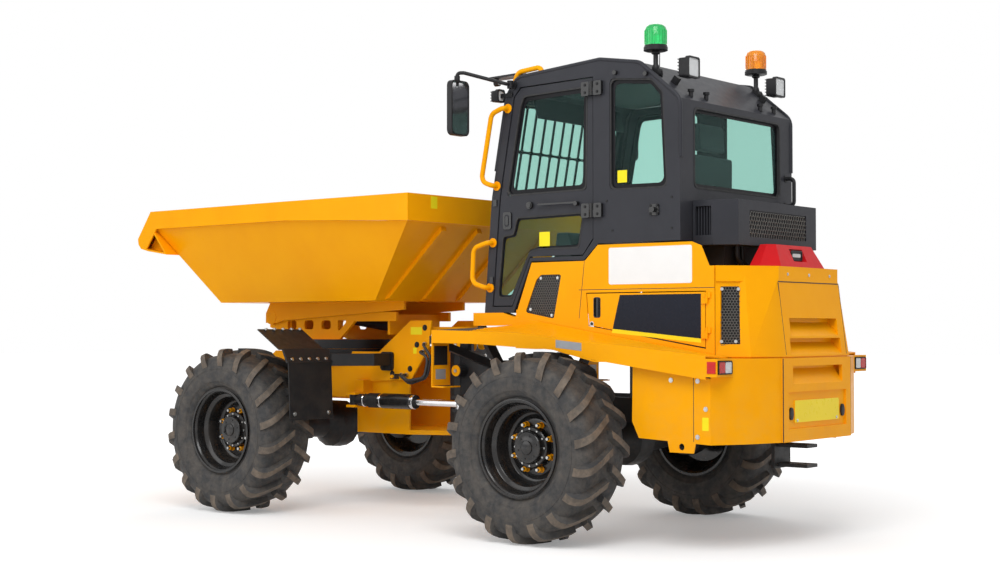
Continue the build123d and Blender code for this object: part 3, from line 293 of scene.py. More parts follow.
# ---- seat cloth: a woven stripe
clothLook = {"color": (0.07, 0.07, 0.078), "darkest": 0.6, "weave": 160.0, "wear": (30.0,),
             "roughness": (0.75, 0.92), "sheen": 0.25,
             "bump": (0.0006, 0.5)}
seatCloth, clothTree, clothShader = newMaterial("seatCloth", clothLook["color"])
weave = clothTree.nodes.new("ShaderNodeTexWave")
weave.inputs["Scale"].default_value = clothLook["weave"]
clothTree.links.new(objectPlace(clothTree), weave.inputs["Vector"])
cloudyColor(clothTree, clothShader, spread(clothTree, weave.outputs["Fac"], 0.0, 1.0, 0.0, 1.0),
            clothLook["color"],
            tuple(c * clothLook["darkest"] for c in clothLook["color"]))
unevenRoughness(clothTree, clothShader, clothLook["wear"], *clothLook["roughness"])
clothShader.inputs["Sheen Weight"].default_value = clothLook["sheen"]
bump(clothTree, clothShader, weave.outputs["Fac"], *clothLook["bump"])
print("materials made")


# ---- geometry helpers
def placeObject(name, data):
    obj = bpy.data.objects.new(name, data)
    bpy.context.scene.collection.objects.link(obj)
    return obj


def addPiece(name, mesh, body, materials, smooth=35, standsFor=None):
    for mat in materials:
        mesh.materials.append(mat)
    obj = placeObject(name, mesh)
    if smooth:
        mesh.shade_smooth()
        mesh.set_sharp_from_angle(angle=math.radians(smooth))
    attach(obj, body)
    if standsFor:
        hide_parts(standsFor)
    return obj


def meshOf(bm, name):
    mesh = bpy.data.meshes.new(name)
    bmesh.ops.recalc_face_normals(bm, faces=bm.faces)
    bm.to_mesh(mesh)
    bm.free()
    return mesh


def fromBmesh(name, bm, body, materials, smooth=35, standsFor=None):
    addPiece(name, meshOf(bm, name), body, materials, smooth, standsFor)


def takeMesh(holder, name):
    # the holder's mesh with its modifiers worked out; the holder goes
    mesh = bpy.data.meshes.new_from_object(holder.evaluated_get(bpy.context.evaluated_depsgraph_get()))
    bpy.data.objects.remove(holder)
    mesh.name = name
    mesh.materials.clear()
    return mesh


softening = {"weld": 0.00002, "flat": 1.0, "sharp": 40, "edge": 28, "segments": 2}


def softened(nodeName, width, mat):
    # the CAD solid with its edges rounded, standing for the plain one
    bm = bmesh.new()
    bm.from_mesh(cadNodes[nodeName].data)
    bmesh.ops.remove_doubles(bm, verts=bm.verts, dist=softening["weld"])
    bmesh.ops.dissolve_limit(bm, angle_limit=math.radians(softening["flat"]), verts=bm.verts, edges=bm.edges)
    mesh = meshOf(bm, nodeName + "Plain")
    mesh.shade_smooth()
    mesh.set_sharp_from_angle(angle=math.radians(softening["sharp"]))
    holder = placeObject(nodeName + "Soft", mesh)
    edge = holder.modifiers.new("bevel", "BEVEL")
    edge.width = width
    edge.segments = softening["segments"]
    edge.limit_method = "ANGLE"
    edge.angle_limit = math.radians(softening["edge"])
    edge.use_clamp_overlap = True
    holder.modifiers.new("weighted", "WEIGHTED_NORMAL").keep_sharp = True
    done = takeMesh(holder, nodeName + "Shell")
    for polygon in done.polygons:
        polygon.material_index = 0
    addPiece(nodeName + "Shell", done, bodyOf[nodeName], [mat], 0, nodeName)


def revolve(bm, section, segments, axis="X", centre=(0, 0, 0), materialIndex=0, closed=False):
    # section of (along, radius) pairs turned about an axis through centre
    def spot(along, radius, angle):
        u, v = radius * math.cos(angle), radius * math.sin(angle)
        return Vector(centre) + Vector({"X": (along, u, v), "Y": (u, along, v), "Z": (u, v, along)}[axis])

    rings = [[bm.verts.new(spot(*pair, 2 * math.pi * i / segments)) for pair in section]
             for i in range(segments)]
    count = len(section)
    for here, after in zip(rings, rings[1:] + rings[:1]):
        for k in range(count if closed else count - 1):
            j = (k + 1) % count
            bm.faces.new((here[k], here[j], after[j], after[k])).material_index = materialIndex
    bmesh.ops.remove_doubles(bm, verts=[v for ring in rings for v in ring], dist=1e-6)


def colorFaces(verts, materialIndex):
    for face in {face for v in verts for face in v.link_faces}:
        face.material_index = materialIndex


def span(middle, half):
    return (middle - half, middle + half)


def boxAt(bm, xs, ys, zs, materialIndex=0, turn=None, about=(0, 0, 0)):
    # a box over three (from, to) spans, turned about a point where turn is given
    made = bmesh.ops.create_cube(bm, size=1.0)["verts"]
    for v in made:
        v.co = Vector([(low + high) / 2 + share * (high - low) for share,
                       (low, high) in zip(v.co, (xs, ys, zs))])
        if turn:
            v.co = turn @ (v.co - Vector(about)) + Vector(about)
    colorFaces(made, materialIndex)


def rod(bm, start, end, radius, around=12, materialIndex=0, endRadius=None):
    start, end = Vector(start), Vector(end)
    axis = end - start
    made = bmesh.ops.create_cone(bm, cap_ends=True, segments=around, radius1=radius,
                                 radius2=radius if endRadius is None else endRadius,
                                 depth=axis.length)["verts"]
    place = Matrix.Translation((start + end) / 2) @ axis.to_track_quat("Z", "Y").to_matrix().to_4x4()
    for v in made:
        v.co = place @ v.co
    colorFaces(made, materialIndex)


def sideRod(bm, side, near, far, y, z, radius, around=12, materialIndex=0):
    rod(bm, (side * near, y, z), (side * far, y, z), radius, around, materialIndex)


def spotsAround(count, radius, turned=0.0):
    # points spread evenly on a circle, turned by a share of one step
    angles = [2 * math.pi * (i + turned) / count for i in range(count)]
    return [(radius * math.cos(a), radius * math.sin(a)) for a in angles]


# ---- tyres and rims, drawn about the wheel's centre with their outer face to +x
wheel = {"radius": 0.5375, "centreX": 0.8975, "smooth": 38}
wheelPlaces = {"fl": (1, -1.335), "fr": (-1, -1.335), "rl": (1, 1.165), "rr": (-1, 1.165)}
tyre = {"lugs": 18, "segments": 108, "ribs": ((0.1935, 0.330), (0.2015, 0.402)), "ribIn": 0.004,
        "ribOut": 0.0015, "ribHalf": 0.002}
carcassSection = [
    (0.152, 0.262), (0.158, 0.272), (0.156, 0.284), (0.166, 0.293), (0.184, 0.312), (0.186, 0.318),
    (0.192, 0.322), (0.2, 0.352),
    (0.2025, 0.385), (0.2, 0.415), (0.192, 0.447), (0.178, 0.474), (0.158, 0.490), (0.12, 0.497),
    (0.06, 0.501), (0.0, 0.502),
]
# along the lug: distance from the middle, outer radius, degrees that it lags
lugPath = [(0.002, 0.5368, 0.0), (0.05, 0.5366, 2.9), (0.10, 0.5355, 6.3), (0.14, 0.532, 9.0),
           (0.172, 0.524, 11.0),
           (0.193, 0.503, 12.4), (0.203, 0.475, 13.4), (0.2045, 0.446, 14.0), (0.2025, 0.425, 14.3)]
lug = {"topHalf": 0.020, "widens": 0.004, "foot": 0.009, "depth": 0.045, "shoulderDepth": 0.038,
       "shoulder": 5, "tuck": 0.006}


def buildLug(bm, flank, start):
    rings = []
    for i, (x, outer, lag) in enumerate(lugPath):
        middle = math.radians(start - lag)
        topHalf = (lug["topHalf"] + lug["widens"] * i / len(lugPath)) / outer
        footHalf = topHalf + lug["foot"] / outer
        root = outer - (lug["depth"] if i < lug["shoulder"] else lug["shoulderDepth"])
        tuck = lug["tuck"] * max(i - lug["shoulder"] + 1, 0)
        corners = ((root, -footHalf, tuck), (outer, -topHalf, 0), (outer, topHalf, 0), (root, footHalf, tuck))
        rings.append([bm.verts.new((flank * (x - inward), r * math.cos(middle + half),
                                    r * math.sin(middle + half)))
                      for r, half, inward in corners])
    for here, after in zip(rings, rings[1:]):
        for j in range(3):
            face = bm.faces.new((here[j], here[j + 1], after[j + 1], after[j]))
            face.material_index = 1 if j == 1 else 0
    bm.faces.new(rings[0])
    bm.faces.new(rings[-1])


def buildTyre(bm):
    revolve(bm, carcassSection + [(-x, r) for x, r in carcassSection[::-1][1:]], tyre["segments"])
    for flank, firstLug in ((1, 0), (-1, 0.5)):
        for k in range(tyre["lugs"]):
            buildLug(bm, flank, (k + firstLug) * 360 / tyre["lugs"])
        for x, r in tyre["ribs"]:
            inner, outer = flank * (x - tyre["ribIn"]), flank * (x + tyre["ribOut"])
            revolve(bm, [(inner, r - tyre["ribIn"]), (outer, r - tyre["ribHalf"]),
                         (outer, r + tyre["ribHalf"]),
                         (inner, r + tyre["ribIn"])], tyre["segments"], closed=True)


rimFace = [
    (0.176, 0.262), (0.178, 0.272), (0.176, 0.277), (0.171, 0.277), (0.168, 0.270), (0.166, 0.256),
    (0.158, 0.249), (0.146, 0.245),
    (0.10, 0.242), (0.094, 0.236), (0.090, 0.220), (0.086, 0.216), (0.03, 0.209), (0.004, 0.205),
    (-0.004, 0.198), (-0.008, 0.185),
    (-0.002, 0.170), (0.010, 0.160), (0.012, 0.150), (0.012, 0.122), (0.020, 0.118), (0.050, 0.117),
    (0.054, 0.112), (0.054, 0.096),
    (0.060, 0.091), (0.078, 0.090), (0.082, 0.086), (0.082, 0.044), (0.084, 0.040), (0.090, 0.038),
    (0.092, 0.034), (0.092, 0.0),
]
rimBack = [(-0.152, 0.2617), (-0.176, 0.2617), (-0.176, 0.277), (-0.171, 0.277), (-0.166, 0.256),
           (-0.150, 0.240), (-0.060, 0.205),
           (-0.045, 0.19), (-0.045, 0.06), (-0.040, 0.055), (-0.040, 0.0)]
rim = {"sections": (rimFace, rimBack, [(-0.153, 0.2612), (0.176, 0.2615)]), "segments": 96,
       "valve": ((0.02, 0.2, 0.06), (0.075, 0.19, 0.057), 0.006, 10, 2)}
rimBolts = (
    # spots as count, circle and turn; then rods as from, to, radius, sides, material
    ((8, 0.134, 0.5), ((0.006, 0.016, 0.019, 20, 1), (0.014, 0.042, 0.0155, 6, 1),
                       (0.040, 0.060, 0.0085, 12, 2))),
    ((12, 0.104), ((0.052, 0.060, 0.006, 6, 2),)),
    ((6, 0.066, 0.25), ((0.080, 0.086, 0.0055, 8, 0),)),
)


def buildRim(bm):
    for section in rim["sections"]:
        revolve(bm, section, rim["segments"])
    for spots, rods in rimBolts:
        for y, z in spotsAround(*spots):
            for near, far, radius, around, index in rods:
                rod(bm, (near, y, z), (far, y, z), radius, around, index)
    rod(bm, *rim["valve"])


for key, (side, wheelY) in wheelPlaces.items():
    for label, builder, mats, slotName in (("tyre", buildTyre, [tyreRubber, wornTread], "tyre_rubber"),
                                           ("rim", buildRim, [glossBlack, bodyYellow, zinc], "gloss_black")):
        bm = bmesh.new()
        builder(bm)
        for v in bm.verts:
            v.co = (side * (v.co.x + wheel["centreX"]), v.co.y + wheelY, v.co.z + wheel["radius"])
        fromBmesh(f"{label}Dressed_{key}", bm, f"wheel_{key}", mats, wheel["smooth"],
                  f"{label}_{key}")
print("wheels made")

# ---- body panels, frames and fittings: the CAD solids with rounded edges
shells = (
    # finish, slot, and each node with the width of its rounded edges
    (bodyYellow, "body_yellow", {"skip": 0.004, "rear_hood": 0.003, "tail_panel": 0.003, "side_panels": 0.002,
                                 "hatch_left": 0.002,
                                 "hatch_right": 0.002, "fenders": 0.003, "front_chassis": 0.003,
                                 "turntable": 0.003}),
    (satinBlackAndSlotShade, "satin_black", {"rear_chassis": 0.003, "pivot_block": 0.003, "rear_axle": 0.004,
                                 "front_axle": 0.004,
                                 "mudguards": 0.002, "tow_hitch": 0.002, "seat_base": 0.004}),
    (cabAnthracite, "cab_anthracite", {"cab_frame": 0.008, "door_left": 0.003, "door_right": 0.003,
                                       "ac_box": 0.006}),
    (signalRed, "signal_red", {"lamp_cover": 0.008}),
    (dashPlastic, "dash_plastic", {"console": 0.012, "steering_wheel": 0.004}),
    (castIron, "engine_grey", {"engine": 0.01}),
)
for mat, slotName, widths in shells:
    for nodeName, width in widths.items():
        softened(nodeName, width, mat)

plainNodes = (
    (tintedGlass, ("cab_glass", "door_glass_left", "door_glass_right")),
    (satinBlackAndSlotShade, ("tip_ram_barrel", "steer_ram_barrel", "mesh_panels")),
    (chrome, ("tip_ram_rod", "steer_ram_rod")),
)
for mat, nodeNames in plainNodes:
    for nodeName in nodeNames:
        cadNodes[nodeName].data.materials.clear()
        cadNodes[nodeName].data.materials.append(mat)
print("shells made")


# ---- shapes shared by the fittings: outlines, plates, bent tubes and instanced meshes
def insetLoop(points, distance):
    area = sum(a[0] * b[1] - b[0] * a[1] for a, b in zip(points, points[1:] + points[:1]))
    inward = 1 if area > 0 else -1
    moved = []
    for i, point in enumerate(points):
        here, before, after = Vector(point), Vector(points[i - 1]), Vector(points[(i + 1) % len(points)])
        d1, d2 = (here - before).normalized(), (after - here).normalized()
        n1, n2 = Vector((-d1.y, d1.x)) * inward, Vector((-d2.y, d2.x)) * inward
        moved.append(tuple(here + (n1 + n2) / (1 + n1.dot(n2)) * distance))
    return moved


def arcBetween(start, end, centre, steps):
    a, b = start - centre, end - centre
    swing = a.angle(b)
    return [centre + (a * math.sin((1 - k / steps) * swing) + b * math.sin(k / steps * swing)) / math.sin(swing)
            for k in range(steps + 1)]


def roundCorner(before, here, after, radius, steps):
    # a corner that is nearly straight stays a point, and an arc keeps off the middle of each edge
    nearlyStraight, edgeShare = math.radians(88), 0.48
    u, v = (before - here).normalized(), (after - here).normalized()
    half = u.angle(v) / 2
    if half > nearlyStraight:
        return [here]
    reach = min(radius / math.tan(half), edgeShare * (before - here).length,
                edgeShare * (after - here).length)
    return arcBetween(here + u * reach, here + v * reach,
                      here + (u + v).normalized() * (reach / math.cos(half)), steps)


def roundLoop(points, radius, steps=4):
    pts = [Vector(p) for p in points]
    rounded = []
    for i, here in enumerate(pts):
        rounded += roundCorner(pts[i - 1], here, pts[(i + 1) % len(pts)], radius, steps)
    return [tuple(p) for p in rounded]


def shrunk(points, distance, radius, steps=4):
    return roundLoop(insetLoop(points, distance), radius, steps)


def rectangle(u0, u1, v0, v1):
    return [(u0, v0), (u1, v0), (u1, v1), (u0, v1)]


def flipped(side, points):
    return [(side * p[0], *p[1:]) for p in points]


def plate(bm, plane, outline, low, high, hole=None, materialIndex=0, place=None):
    # an outline given thickness along the named axis; hole is an outline with as many points
    def ring(points, w):
        spots = [{"X": (w, u, v), "Y": (u, w, v)}[plane] for u, v in points]
        return [bm.verts.new(place @ Vector(p) if place else p) for p in spots]

    def wall(a, b):
        return [bm.faces.new((a[i], a[i - 1], b[i - 1], b[i])) for i in range(len(a))]

    near, far = ring(outline, low), ring(outline, high)
    made = wall(near, far)
    if hole:
        nearHole, farHole = ring(hole, low), ring(hole, high)
        made += wall(nearHole, farHole) + wall(near, nearHole) + wall(far, farHole)
    else:
        made += [bm.faces.new(near), bm.faces.new(far)]
    for face in made:
        face.material_index = materialIndex


def sidePlate(bm, side, outline, near, far, hole=None, materialIndex=0):
    plate(bm, "X", outline, side * near, side * far, hole, materialIndex)


def bentTube(bm, points, radius, bend, around=12, steps=5):
    # a round tube along straight runs joined by arcs
    pts = [Vector(p) for p in points]
    line = [pts[0]]
    for before, here, after in zip(pts, pts[1:], pts[2:]):
        line += roundCorner(before, here, after, bend, steps)
    line.append(pts[-1])
    line = [p for i, p in enumerate(line) if i == 0 or (p - line[i - 1]).length > 1e-5]
    heading = (line[1] - line[0]).normalized()
    across = heading.orthogonal().normalized()
    rings = []
    for i, p in enumerate(line):
        newHeading = (line[min(i + 1, len(line) - 1)] - line[max(i - 1, 0)]).normalized()
        across = heading.rotation_difference(newHeading) @ across
        across = (across - newHeading * across.dot(newHeading)).normalized()
        heading = newHeading
        up = heading.cross(across)
        rings.append([bm.verts.new(p + across * u + up * v) for u, v in spotsAround(around, radius)])
    for a, b in zip(rings, rings[1:]):
        for k in range(around):
            bm.faces.new((a[k - 1], a[k], b[k], b[k - 1]))
    bm.faces.new(rings[0])
    bm.faces.new(rings[-1])


def instanceTree(name, sizes, build, mat):
    # puts one small shape on every point, turned to the point's facing and up directions
    tree = bpy.data.node_groups.new(name, "GeometryNodeTree")
    tree.interface.new_socket("Geometry", in_out="INPUT", socket_type="NodeSocketGeometry")
    for label in sizes:
        tree.interface.new_socket(label, in_out="INPUT", socket_type="NodeSocketFloat")
    tree.interface.new_socket("Geometry", in_out="OUTPUT", socket_type="NodeSocketGeometry")
    entry, leave = tree.nodes.new("NodeGroupInput"), tree.nodes.new("NodeGroupOutput")
    rotation = None
    for attribute, axis, pivot in (("facing", "Z", "AUTO"), ("up", "Y", "Z")):
        named = tree.nodes.new("GeometryNodeInputNamedAttribute")
        named.data_type = "FLOAT_VECTOR"
        named.inputs["Name"].default_value = attribute
        align = tree.nodes.new("FunctionNodeAlignRotationToVector")
        align.axis, align.pivot_axis = axis, pivot
        tree.links.new(named.outputs["Attribute"], align.inputs["Vector"])
        if rotation:
            tree.links.new(rotation, align.inputs["Rotation"])
        rotation = align.outputs["Rotation"]
    spots = tree.nodes.new("GeometryNodeInstanceOnPoints")
    realize = tree.nodes.new("GeometryNodeRealizeInstances")
    paint = tree.nodes.new("GeometryNodeSetMaterial")
    paint.inputs["Material"].default_value = mat
    for source, socket in (
            (entry.outputs["Geometry"], spots.inputs["Points"]),
            (build(tree, entry), spots.inputs["Instance"]),
            (rotation, spots.inputs["Rotation"]), (spots.outputs["Instances"], realize.inputs["Geometry"]),
            (realize.outputs["Geometry"], paint.inputs["Geometry"]),
            (paint.outputs["Geometry"], leave.inputs["Geometry"])):
        tree.links.new(source, socket)
    return tree


def boltShape(tree, entry):
    # hexagon head over a round washer, half of each sunk in the face it holds
    joined = tree.nodes.new("GeometryNodeJoinGeometry")
    for vertices, radius, height in ((14, "Washer radius", "Washer height"),
                                     (6, "Head radius", "Head height")):
        cylinder = tree.nodes.new("GeometryNodeMeshCylinder")
        cylinder.inputs["Vertices"].default_value = vertices
        tree.links.new(entry.outputs[radius], cylinder.inputs["Radius"])
        tree.links.new(mathNode(tree, "MULTIPLY", entry.outputs[height], 2.0), cylinder.inputs["Depth"])
        tree.links.new(cylinder.outputs["Mesh"], joined.inputs["Geometry"])
    return joined.outputs["Geometry"]


def cellShape(tree, entry):
    # one hexagon of wire
    sweep = tree.nodes.new("GeometryNodeCurveToMesh")
    for resolution, label, socket in ((6, "Cell radius", "Curve"), (3, "Wire radius", "Profile Curve")):
        circle = tree.nodes.new("GeometryNodeCurvePrimitiveCircle")
        circle.inputs["Resolution"].default_value = resolution
        tree.links.new(entry.outputs[label], circle.inputs["Radius"])
        tree.links.new(circle.outputs["Curve"], sweep.inputs[socket])
    return sweep.outputs["Mesh"]


def instanced(name, build, sizes, spots, body, mat):
    # spots are (place, facing, up); the tree's result is kept as one plain mesh
    seedMesh = bpy.data.meshes.new(name + "Points")
    seedMesh.from_pydata([tuple(spot[0]) for spot in spots], [], [])
    directions = {"facing": 1, "up": 2}
    for label, column in directions.items():
        attribute = seedMesh.attributes.new(label, "FLOAT_VECTOR", "POINT")
        for i, spot in enumerate(spots):
            attribute.data[i].vector = tuple(spot[column])
    holder = placeObject(name + "Holder", seedMesh)
    modifier = holder.modifiers.new("nodes", "NODES")
    modifier.node_group = instanceTree(name + "Tree", sizes, build, mat)
    for item in modifier.node_group.interface.items_tree:
        if item.name in sizes:
            modifier[item.identifier] = sizes[item.name]
    mesh = takeMesh(holder, name)
    for label in directions:
        if label in mesh.attributes:
            mesh.attributes.remove(mesh.attributes[label])
    addPiece(name, mesh, body, [mat], 30)


def boltSizes(headRadius, headHeight, washerRadius, washerHeight):
    return {"Head radius": headRadius, "Head height": headHeight, "Washer radius": washerRadius,
            "Washer height": washerHeight}


def cellSizes(cellRadius, wireRadius):
    return {"Cell radius": cellRadius, "Wire radius": wireRadius}


smallScrew = boltSizes(0.006, 0.004, 0.009, 0.0015)


def sideSpots(side, x, places):
    # screws that face outward on the machine's side, at (y, z) places
    return [((side * x, y, z), (side, 0, 0), (0, 0, 1)) for y, z in places]


def rearSpots(y, places):
    return [((x, y, z), (0, 1, 0), (0, 0, 1)) for x, z in places]


def inside(point, outline):
    odd = False
    for (u0, v0), (u1, v1) in zip(outline, outline[1:] + outline[:1]):
        if (v0 > point[1]) != (v1 > point[1]) and point[0] < (u1 - u0) * (point[1] - v0) / (v1 - v0) + u0:
            odd = not odd
    return odd


def hexGrid(outline, cell):
    # centres of hexagon cells whose middle lies in the outline; cell is the corner radius
    us, vs = [p[0] for p in outline], [p[1] for p in outline]
    stepU, stepV = cell * math.sqrt(3), cell * 1.5
    row, found = 0, []
    v = min(vs)
    while v <= max(vs):
        u = min(us) + (stepU / 2 if row % 2 else 0)
        while u <= max(us):
            if inside((u, v), outline):
                found.append((u, v))
            u += stepU
        v += stepV
        row += 1
    return found


def sideBox(bm, side, xs, ys, zs, materialIndex=0):
    boxAt(bm, (side * xs[0], side * xs[1]), ys, zs, materialIndex)


def addParts(bm, side, parts):
    # rows: rod near, far, y, z, radius, sides, material; box x, y and z spans; plate outline, near, far, hole
    makers = {"rod": sideRod, "box": sideBox, "plate": sidePlate}
    for kind, *row in parts:
        makers[kind](bm, side, *row)


# ---- glazing: printed borders, rubber seals, blank yellow notices
doorUpper = [(0.722, 1.995), (0.822, 2.520), (0.850, 2.588), (1.325, 2.600), (1.315, 2.000)]
doorLower = [(0.650, 1.385), (0.690, 1.760), (0.770, 1.770), (0.800, 1.868), (1.300, 1.876), (1.262, 1.668),
             (0.965, 1.668),
             (0.905, 1.652), (0.765, 1.385)]
sidePane = [(1.480, 1.990), (1.480, 2.630), (1.770, 2.600), (1.845, 2.520), (1.872, 1.985)]
rearPane = rectangle(-0.48, 0.48, 1.985, 2.44)
glazing = {
    # glass, printed film on it and seal's face; then corner radius and border of each pane
    "side": (0.6039, 0.6051, 0.6165), "rear": (1.9369, 1.9381, 1.9575), "sideSeal": 0.009, "rearSeal": 0.01,
    "doorUpper": (0.03, 0.034), "doorLower": (0.02, 0.02), "sidePane": (0.035, 0.03),
    "rearPane": (0.035, 0.028),
    "notice": (0.6045, 0.6051), "doorNotice": (0.962, 1.040, 1.672, 1.772),
    "paneNotice": (1.525, 1.590, 2.030, 2.100),
}
trims = [glassBorderAndOutletShade, sealRubberAndGapShade, labelYellow]


def paneTrim(bm, plane, pane, radius, border, seal, glass, film, face):
    outer = roundLoop(pane, radius)
    plate(bm, plane, outer, glass, film, shrunk(pane, border, radius), 0)
    plate(bm, plane, outer, glass, face, shrunk(pane, seal, radius), 1)


def sideTrim(bm, side, pane, edge):
    paneTrim(bm, "X", pane, *edge, glazing["sideSeal"], *[side * x for x in glazing["side"]])


for side, tag in sides:
    bm = bmesh.new()
    sideTrim(bm, side, doorUpper, glazing["doorUpper"])
    sideTrim(bm, side, doorLower, glazing["doorLower"])
    if side > 0:
        plate(bm, "X", rectangle(*glazing["doorNotice"]), *glazing["notice"], None, 2)
    fromBmesh("doorTrim_" + tag, bm, "cab_door_" + tag, trims)
bm = bmesh.new()
for side in (1, -1):
    sideTrim(bm, side, sidePane, glazing["sidePane"])
plate(bm, "X", rectangle(*glazing["paneNotice"]), *glazing["notice"], None, 2)
paneTrim(bm, "Y", rearPane, *glazing["rearPane"], glazing["rearSeal"], *glazing["rear"])
fromBmesh("cabTrim", bm, "rear_frame", trims)

# ---- door furniture: hinges, lever, lock, latch
hinge = {"x": 0.636, "y": 1.365, "skin": 0.6195, "face": 0.6412, "rows": (1.840, 2.540), "low": -0.001,
         "high": 0.081, "corner": 0.008,
         "pin": 0.0122, "screws": (0.018, 0.062)}
# the leaf's span in y and the knuckle's in z over its row: the cab's half, then the door's
hingeHalves = (((1.3805, 1.4355), (0, 0.040)), ((1.2945, 1.3495), (0.0405, 0.0805)))
# on the door: lever bar and its studs, latch frame and paddle
doorParts = (
    ("box", (0.6305, 0.6425), (0.978, 1.259), (1.9265, 1.9365)),
    ("rod", 0.614, 0.643, 1.252, 1.926, 0.0135, 16),
    ("rod", 0.614, 0.6335, 0.905, 1.932, 0.0212, 24),
    ("rod", 0.6335, 0.638, 0.905, 1.932, 0.015, 20),
    ("plate", roundLoop(rectangle(0.700, 0.762, 1.796, 1.900), 0.014), 0.6145, 0.6242,
     roundLoop(rectangle(0.714, 0.748, 1.812, 1.884), 0.012)),
    ("plate", roundLoop(rectangle(0.720, 0.742, 1.820, 1.876), 0.0105), 0.6145, 0.6265),
)
# on the cab: door stops, side pane knobs, lock plate and barrel
cabParts = (
    ("box", (0.6195, 0.628), (0.627, 0.653), (1.938, 1.978)),
    ("box", (0.6195, 0.628), (0.599, 0.625), (1.474, 1.514)),
    ("rod", 0.618, 0.640, 1.526, 2.655, 0.013, 16),
    ("rod", 0.618, 0.640, 1.735, 2.628, 0.013, 16),
    ("plate", roundLoop(rectangle(1.755, 1.817, 1.834, 1.896), 0.008), 0.6195, 0.628),
    ("rod", 0.628, 0.648, 1.786, 1.865, 0.015, 20),
)
lockScrews = {"x": 0.628, "y": (1.764, 1.808), "z": (1.843, 1.887)}
for side, tag in sides:
    cabBm, doorBm, cabSpots, doorSpots = bmesh.new(), bmesh.new(), [], []
    for row in hinge["rows"]:
        for (leaf, knuckle), bm, spots in zip(hingeHalves, (cabBm, doorBm), (cabSpots, doorSpots)):
            outline = roundLoop(rectangle(*leaf, row + hinge["low"], row + hinge["high"]), hinge["corner"])
            sidePlate(bm, side, outline, hinge["skin"], hinge["face"])
            rod(bm, *[(side * hinge["x"], hinge["y"], row + z) for z in knuckle], hinge["pin"], 16)
            spots += sideSpots(side, hinge["face"], [(sum(leaf) / 2, row + z) for z in hinge["screws"]])
    addParts(doorBm, side, doorParts)
    addParts(cabBm, side, cabParts)
    cabSpots += sideSpots(side, lockScrews["x"], [(y, z) for y in lockScrews["y"] for z in lockScrews["z"]])
    fromBmesh("cabHinges_" + tag, cabBm, "rear_frame", [glossBlack])
    fromBmesh("doorFurniture_" + tag, doorBm, "cab_door_" + tag, [glossBlack])
    instanced("cabHingeScrews_" + tag, boltShape, smallScrew, cabSpots, "rear_frame",
              satinBlackAndSlotShade)
    instanced("doorHingeScrews_" + tag, boltShape, smallScrew, doorSpots, "cab_door_" + tag,
              satinBlackAndSlotShade)
print("glazing and doors made")

# ---- beacons: green on the left, amber on the right
beacon = {"x": 0.55, "y": 1.75, "ribs": 20, "ribX": (0.0605, 0.0638), "ribHalf": 0.0012,
          "ribZ": (2.802, 2.880),
          "post": (0.022, 0.030), "postZ": (2.600, 2.660), "boltZ": 2.63, "boltEnd": 0.0425,
          "boltRadius": 0.011,
          "ear": 0.0408, "earHalf": 0.004, "earZ": (2.612, 2.648)}
domeSection = [(2.792, 0.058), (2.794, 0.062), (2.800, 0.0625), (2.884, 0.0605), (2.898, 0.056),
               (2.908, 0.044), (2.9135, 0.026),
               (2.9148, 0.0)]
baseSection = [(2.762, 0.0), (2.762, 0.060), (2.765, 0.068), (2.784, 0.068), (2.787, 0.0645), (2.794, 0.064),
               (2.794, 0.0)]
stalkSection = [(2.655, 0.0), (2.655, 0.020), (2.668, 0.022), (2.682, 0.018), (2.690, 0.014), (2.742, 0.014),
                (2.748, 0.024),
                (2.757, 0.024), (2.763, 0.018), (2.763, 0.0)]
for (side, tag), lens in zip(sides, (lensGreen, lensAmber)):
    bm = bmesh.new()
    x, y = side * beacon["x"], beacon["y"]
    for section, segments, index in ((domeSection, 40, 0), (baseSection, 40, 1), (stalkSection, 20, 1)):
        revolve(bm, section, segments, "Z", (x, y, 0), index)
    for i in range(beacon["ribs"]):
        boxAt(bm, [x + reach for reach in beacon["ribX"]], span(y, beacon["ribHalf"]), beacon["ribZ"], 0,
              Matrix.Rotation(2 * math.pi * i / beacon["ribs"], 3, "Z"), (x, y, 0))
    boxAt(bm, span(x, beacon["post"][0]), span(y, beacon["post"][1]), beacon["postZ"], 1)
    for end, ear in zip(span(y, beacon["boltEnd"]), span(y, beacon["ear"])):
        rod(bm, (x, y, beacon["boltZ"]), (x, end, beacon["boltZ"]), beacon["boltRadius"], 14, 1)
        boxAt(bm, span(x, beacon["earHalf"]), span(ear, beacon["earHalf"]), beacon["earZ"], 1)
    fromBmesh("beacon_" + tag, bm, "rear_frame", [lens, satinBlackAndSlotShade], standsFor="beacons")

# ---- work lamps: housing, bezel, lens and cooling fins
workLamp = {
    "corner": 0.016, "bezel": 0.010, "bezelDepth": 0.022, "bezelCorner": 0.012, "shell": 0.006,
    "shellCorner": 0.014,
    "shellBack": 0.012, "shellFront": 0.010, "lensDepth": (0.0095, 0.0045), "finDepth": 0.02,
    "finHalf": 0.0022, "finIn": 0.012,
    # spans in x, y and z, and the number of fins
    "rear": ((0.42, 0.54), (1.88, 1.96), (2.60, 2.72), 6), "front": ((0.59, 0.66), (0.622, 0.69),
                                                                     (2.56, 2.64), 4),
    "rearArmX": 0.48, "rearArm": ((1.80, 1.835), (2.540, 2.625)), "rearArmTilt": -38,
    "rearArmPivot": (0, 1.82, 2.57),
    "frontArm": ((0.6205, 0.628), (0.68, 0.775), (2.588, 2.612)),
}


